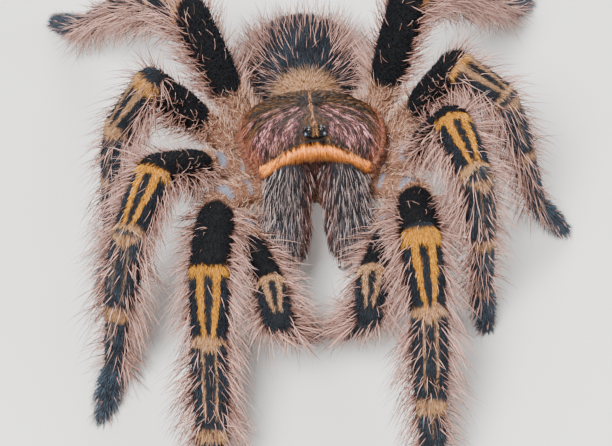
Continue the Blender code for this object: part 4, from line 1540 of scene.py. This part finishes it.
class Jaw:
    """Axis and directions of one chelicera."""

    def __init__(self, sign):
        mirror = Vector((sign, 1, 1))
        self.sign = sign
        self.root = SHIFT + CHELICERA_ROOT * mirror
        self.tip = SHIFT + CHELICERA_TIP * mirror
        self.way = (self.tip - self.root).normalized()
        self.back = self.way.cross(Vector((1, 0, 0))).normalized()
        self.across = self.back.cross(self.way).normalized()
        self.front = self.back if self.back.z > 0 else -self.back
        self.outward = sign if self.across.x > 0 else -sign

    def size(self, share):
        along, sizes_there = zip(*JAW_PROFILE)
        return np.interp(share, along, sizes_there)

    def surface(self, share, turn, sink=0.0):
        """Points at shares along it and turns round it; turn 0 is the front."""
        size = self.size(share)
        width = CHELICERA_HALF_WIDTH * size * (1 - 0.14 * share) - sink
        depth = CHELICERA_HALF_DEPTH * size - sink
        centre = np.array(self.root) + np.outer(share, np.array(self.tip - self.root))
        offset = np.outer(np.cos(turn) * depth, self.front) + np.outer(np.sin(turn) * width, self.across)
        normal = np.outer(np.cos(turn) / depth.clip(1e-5), self.front)
        normal = normal + np.outer(np.sin(turn) / width.clip(1e-5), self.across)
        slope = (self.size(np.minimum(share + 0.02, 1)) - self.size(np.maximum(share - 0.02, 0))) / 0.04
        length = (self.tip - self.root).length
        normal = unit(normal) - np.outer(slope * CHELICERA_HALF_DEPTH / length, self.way)
        return centre + offset, unit(normal)


def make_jaws():
    for side, sign in (("left", 1), ("right", -1)):
        jaw = Jaw(sign)
        turns = np.arange(JAW_SIDES) / JAW_SIDES * math.tau
        rings = [jaw.surface(np.full(JAW_SIDES, share), turns, JAW_INSET * MM)[0] for share in JAW_SHARES]
        item = loft_rings(f"jaw_{side}", rings)
        apply_modifier(item, "SMOOTH", factor=0.5, iterations=2)
        finish_piece(item, "jaw_shell", (f"chelicera_{side}",))


def make_mouth():
    """Soft dark skin that closes the arch behind and between the jaws."""
    item = egg(PROSOMA @ MOUTH_CENTRE, MOUTH_SIZE / 2, PROSOMA_TURN)
    item.name = item.data.name = "mouth_membrane"
    points = points_of(item.data)
    outside = ramp(points[:, 1], points[:, 1].mean(), points[:, 1].min())
    points[:, 1] += 0.12 * MM * np.sin(points[:, 0] / (0.45 * MM)) * outside
    place_points(item.data, points)
    finish_piece(item, "mouth_membrane")


def make_fangs():
    """Rounded copies of the faceted fangs."""
    for side in ("left", "right"):
        mesh = bpy.data.objects[frame["nodes"][f"fang_{side}"].name].data.copy()
        mesh.name = f"fang_horn_{side}"
        item = link_mesh(mesh.name, mesh)
        face_outwards(item, merged=True)
        apply_modifier(item, "SUBSURF", levels=2, render_levels=2)
        finish_piece(item, "fang_horn", (f"fang_{side}",))


def jaw_hairs(strands, jaw, rng, coat):
    """Hairs of one kind that lie down one jaw."""
    share = rng.uniform(*coat.spread, coat.count)
    turn = rng.uniform(-math.pi, math.pi, coat.count)
    keep = rng.random(coat.count) < 0.5 + 0.5 * ramp(share, 0.0, 0.3)
    share, turn = share[keep], turn[keep]
    total = len(share)
    points, normals = jaw.surface(share, turn, 0.25 * MM)
    lie = flat(np.tile(np.array(jaw.way), (total, 1)), normals, 1 - coat.stand)
    lie = swung(lie, normals, rng.normal(0, 0.14, total))
    heads = unit(lifted(lie, normals, np.radians(rng.uniform(*coat.lift, total))))
    inner = ramp(-np.sin(turn) * jaw.outward, 0.35, 0.8)
    marks = np.column_stack((inner * (rng.random(total) < 0.55), np.zeros((total, 2)),
                             np.clip(rng.normal(*coat.tones, total), 0, 1)))
    place = np.column_stack((0.10 + 0.88 * share, (0.02 + 0.93 * (turn / math.tau + 0.5)) / 2
                             + (0.5 if jaw.sign > 0 else 0)))
    bends = -normals * 0.1 + np.array((0, 0, -0.06))
    strands.grow(points, heads, bends, rng.uniform(*coat.lengths, total) * MM,
                 rng.uniform(0.8, 1.2, total) * coat.width * MM, coat.steps, marks, place)


def grow_jaws(seed):
    """Dark fur of the jaws, the pale hairs that lie down them and the fringe at their ends."""
    rng = np.random.default_rng(seed)
    dark, pale = Strands("coat_jaws_dark"), Strands("coat_jaws_pale")
    for sign in (1, -1):
        jaw = Jaw(sign)
        for coat in JAW_COATS:
            jaw_hairs(pale if coat.pale else dark, jaw, rng, coat)

    # red hairs round the mouth, between the jaws
    count = COUNTS["mouth"]
    x = rng.uniform(-3.0, 3.0, count) * MM
    z = rng.uniform(-3.0, 3.2, count) * MM
    fill = 1 - (2 * x / MOUTH_SIZE.x) ** 2 - (2 * z / MOUTH_SIZE.z) ** 2
    y = -np.sqrt(np.maximum(fill, 0.02)) * MOUTH_SIZE.y / 2
    sideways, upwards = rng.normal(0, 0.25, count), -0.9 + rng.normal(0, 0.2, count)
    heads = unit(turn_to_row(sideways, -np.ones(count), upwards))
    marks = np.column_stack((np.ones(count), np.zeros((count, 2)), 0.2 + 0.7 * rng.random(count)))
    points = prosoma_points(MOUTH_CENTRE.x + x, MOUTH_CENTRE.y + y, MOUTH_CENTRE.z + z)
    dark.grow(points, heads, np.tile((0.0, 0.0, -0.25), (count, 1)), rng.uniform(0.8, 2.0, count) * MM,
              rng.uniform(0.08, 0.11, count) * MM, 2, marks,
              np.column_stack((0.002 + 0.038 * (x / (6.0 * MM) + 0.5), 0.02 + 0.95 * (z / MM + 3.0) / 6.2)))
    dark.build("jaw_grey", "jaw_velvet")
    pale.build("jaw_grey", "jaw_fur")


# ---------------------------------------------------------------- claws

def make_claws():
    """Two small hooks at each foot's tip."""
    hooks = []
    turns = np.arange(HOOK_SIDES) / HOOK_SIDES * math.tau
    for bone in BONES:
        if bone.segment != TARSUS or bone.kind == "palp":
            continue
        for sign in (1, -1):
            rings = []
            for step in range(HOOK_STEPS + 1):
                share = step / HOOK_STEPS
                place = bone.end + bone.across * sign * HOOK_SPREAD * MM + bone.up * (HOOK_RISE * MM)
                place = place + bone.way * (HOOK_LENGTH * MM * share)
                place = place + bone.up * (HOOK_ARCH * MM * math.sin(share * math.pi * 0.8))
                radius = HOOK_RADIUS * MM * (1 - 0.85 * share)
                rings.append(place + np.outer(np.cos(turns) * radius, bone.across)
                             + np.outer(np.sin(turns) * radius, bone.up))
                rings[-1][:, 2] = np.maximum(rings[-1][:, 2], 0.02 * MM)
            hooks.append(loft_rings("hook", rings))
    finish_piece(join(hooks, "claws"), "fang_horn")


# ---------------------------------------------------------------- operators

class TARANTULA_OT_stage(bpy.types.Operator):
    """Lay the floor and set up lights and camera"""
    bl_idname = "tarantula.stage"
    bl_label = "Stage"

    def execute(self, context):
        deselect()
        bpy.ops.mesh.primitive_plane_add(size=3, location=(0, 0, 0))
        floor = context.object
        floor.name = "floor"
        graph = Graph("studio_floor")
        colour = graph.mix(graph.noise(14, 2), (0.64, 0.62, 0.60), (0.68, 0.66, 0.64))
        graph.set(Base_Color=colour, Roughness=0.8)
        floor.data.materials.append(graph.material)

        for name, place, size, power in LIGHTS:
            bpy.ops.object.light_add(type="AREA", location=place)
            light = context.object
            light.name = name
            light.data.size = size
            light.data.energy = power
            light.rotation_mode = "QUATERNION"
            light.rotation_quaternion = (-Vector(place)).to_track_quat("-Z", "Y")
        world = context.scene.world or bpy.data.worlds.new("studio")
        context.scene.world = world
        world.use_nodes = True
        world.node_tree.nodes["Background"].inputs["Color"].default_value = SKY
        world.node_tree.nodes["Background"].inputs["Strength"].default_value = SKY_STRENGTH

        bpy.ops.object.camera_add(location=SHIFT + CAMERA_PLACE)
        camera = context.object
        camera.name = "camera"
        camera.data.lens = CAMERA_LENS
        camera.data.sensor_width = 36.0
        camera.data.clip_start = 0.01
        camera.data.clip_end = 10
        turn = Matrix((CAMERA_RIGHT, CAMERA_RIGHT.cross(CAMERA_AHEAD), -CAMERA_AHEAD)).transposed()
        camera.rotation_mode = "QUATERNION"
        camera.rotation_quaternion = turn.to_quaternion()
        context.scene.camera = camera
        return {"FINISHED"}


class TARANTULA_OT_skin(bpy.types.Operator):
    """Model the one skin that runs under the whole coat"""
    bl_idname = "tarantula.skin"
    bl_label = "Skin"

    def execute(self, context):
        make_materials()
        skin = make_skin()
        site = Site(points_of(skin.data))
        paint_marks(skin.data, site, bare_skin(site))
        replaced = [f"{kind}_{side}_{node}" for kind, side in POSES
                    for node in LIMB_NODES[kind.split("_")[0]]]
        replaced += ["sternum", "pedicel", "abdomen", "spinneret_left", "spinneret_right"]
        finish_piece(skin, "velvet_skin", replaced)
        return {"FINISHED"}


class TARANTULA_OT_shell(bpy.types.Operator):
    """Model the furrowed carapace and its eye mound"""
    bl_idname = "tarantula.shell"
    bl_label = "Carapace"

    def execute(self, context):
        finish_piece(make_carapace(), "carapace_shell", ("carapace",))
        finish_piece(make_mound(), "mound_shell", ("eye_mound",))
        return {"FINISHED"}


class TARANTULA_OT_eyes(bpy.types.Operator):
    """Model the eight eyes"""
    bl_idname = "tarantula.eyes"
    bl_label = "Eyes"

    def execute(self, context):
        make_eyes()
        return {"FINISHED"}


class TARANTULA_OT_jaws(bpy.types.Operator):
    """Model the jaws and their fangs"""
    bl_idname = "tarantula.jaws"
    bl_label = "Jaws and fangs"

    def execute(self, context):
        make_jaws()
        make_mouth()
        make_fangs()
        return {"FINISHED"}


class TARANTULA_OT_claws(bpy.types.Operator):
    """Model the hooks of the feet"""
    bl_idname = "tarantula.claws"
    bl_label = "Claws"

    def execute(self, context):
        make_claws()
        return {"FINISHED"}


class TARANTULA_OT_leg_coat(bpy.types.Operator):
    """Grow velvet and long hairs on the limbs"""
    bl_idname = "tarantula.leg_coat"
    bl_label = "Coat of the limbs"

    def execute(self, context):
        surface = Surface(bpy.data.objects["skin"])
        for index, (name, parts) in enumerate(LIMB_GROUPS.items()):
            grow_velvet(surface, f"coat_velvet_{name}", parts, SEEDS["velvet"] + index)
            grow_bristles(surface, f"coat_bristles_{name}", parts, SEEDS["bristles"] + index)
        return {"FINISHED"}


class TARANTULA_OT_body_coat(bpy.types.Operator):
    """Grow the coat of hips and abdomen"""
    bl_idname = "tarantula.body_coat"
    bl_label = "Coat of the body"

    def execute(self, context):
        surface = Surface(bpy.data.objects["skin"])
        grow_hips(surface, SEEDS["hips"])
        grow_abdomen(surface, SEEDS["abdomen"])
        return {"FINISHED"}


class TARANTULA_OT_head_coat(bpy.types.Operator):
    """Grow the hairs of carapace, rim, brow and jaws"""
    bl_idname = "tarantula.head_coat"
    bl_label = "Coat of the head"

    def execute(self, context):
        grow_shell_fur(SEEDS["carapace"])
        grow_rim(SEEDS["rim"])
        grow_brow(SEEDS["brow"])
        grow_jaws(SEEDS["jaws"])
        return {"FINISHED"}


OPERATORS = (TARANTULA_OT_stage, TARANTULA_OT_skin, TARANTULA_OT_shell, TARANTULA_OT_eyes,
             TARANTULA_OT_jaws, TARANTULA_OT_claws, TARANTULA_OT_leg_coat, TARANTULA_OT_body_coat,
             TARANTULA_OT_head_coat)


class TARANTULA_PT_panel(bpy.types.Panel):
    """Sizes, colours and making steps of the tarantula"""
    bl_idname = "TARANTULA_PT_panel"
    bl_label = "Tarantula"
    bl_space_type = "VIEW_3D"
    bl_region_type = "UI"
    bl_category = "Tarantula"

    def draw(self, context):
        for operator in OPERATORS:
            self.layout.operator(operator.bl_idname)
        for group in (context.scene.tarantula_sizes, context.scene.tarantula_colours):
            for key in group.bl_rna.properties.keys():
                if key not in ("rna_type", "name"):
                    self.layout.prop(group, key)


CLASSES = (TarantulaSizes, TarantulaColours, *OPERATORS, TARANTULA_PT_panel)


def register():
    for item in CLASSES:
        bpy.utils.register_class(item)
    bpy.types.Scene.tarantula_sizes = bpy.props.PointerProperty(type=TarantulaSizes)
    bpy.types.Scene.tarantula_colours = bpy.props.PointerProperty(type=TarantulaColours)


def unregister():
    del bpy.types.Scene.tarantula_colours
    del bpy.types.Scene.tarantula_sizes
    for item in reversed(CLASSES):
        bpy.utils.unregister_class(item)


def main():
    register()
    bpy.ops.tarantula.stage()
    bpy.ops.tarantula.skin()
    bpy.ops.tarantula.shell()
    bpy.ops.tarantula.eyes()
    bpy.ops.tarantula.jaws()
    bpy.ops.tarantula.claws()
    bpy.ops.tarantula.leg_coat()
    bpy.ops.tarantula.body_coat()
    bpy.ops.tarantula.head_coat()


if __name__ == "__main__":
    main()
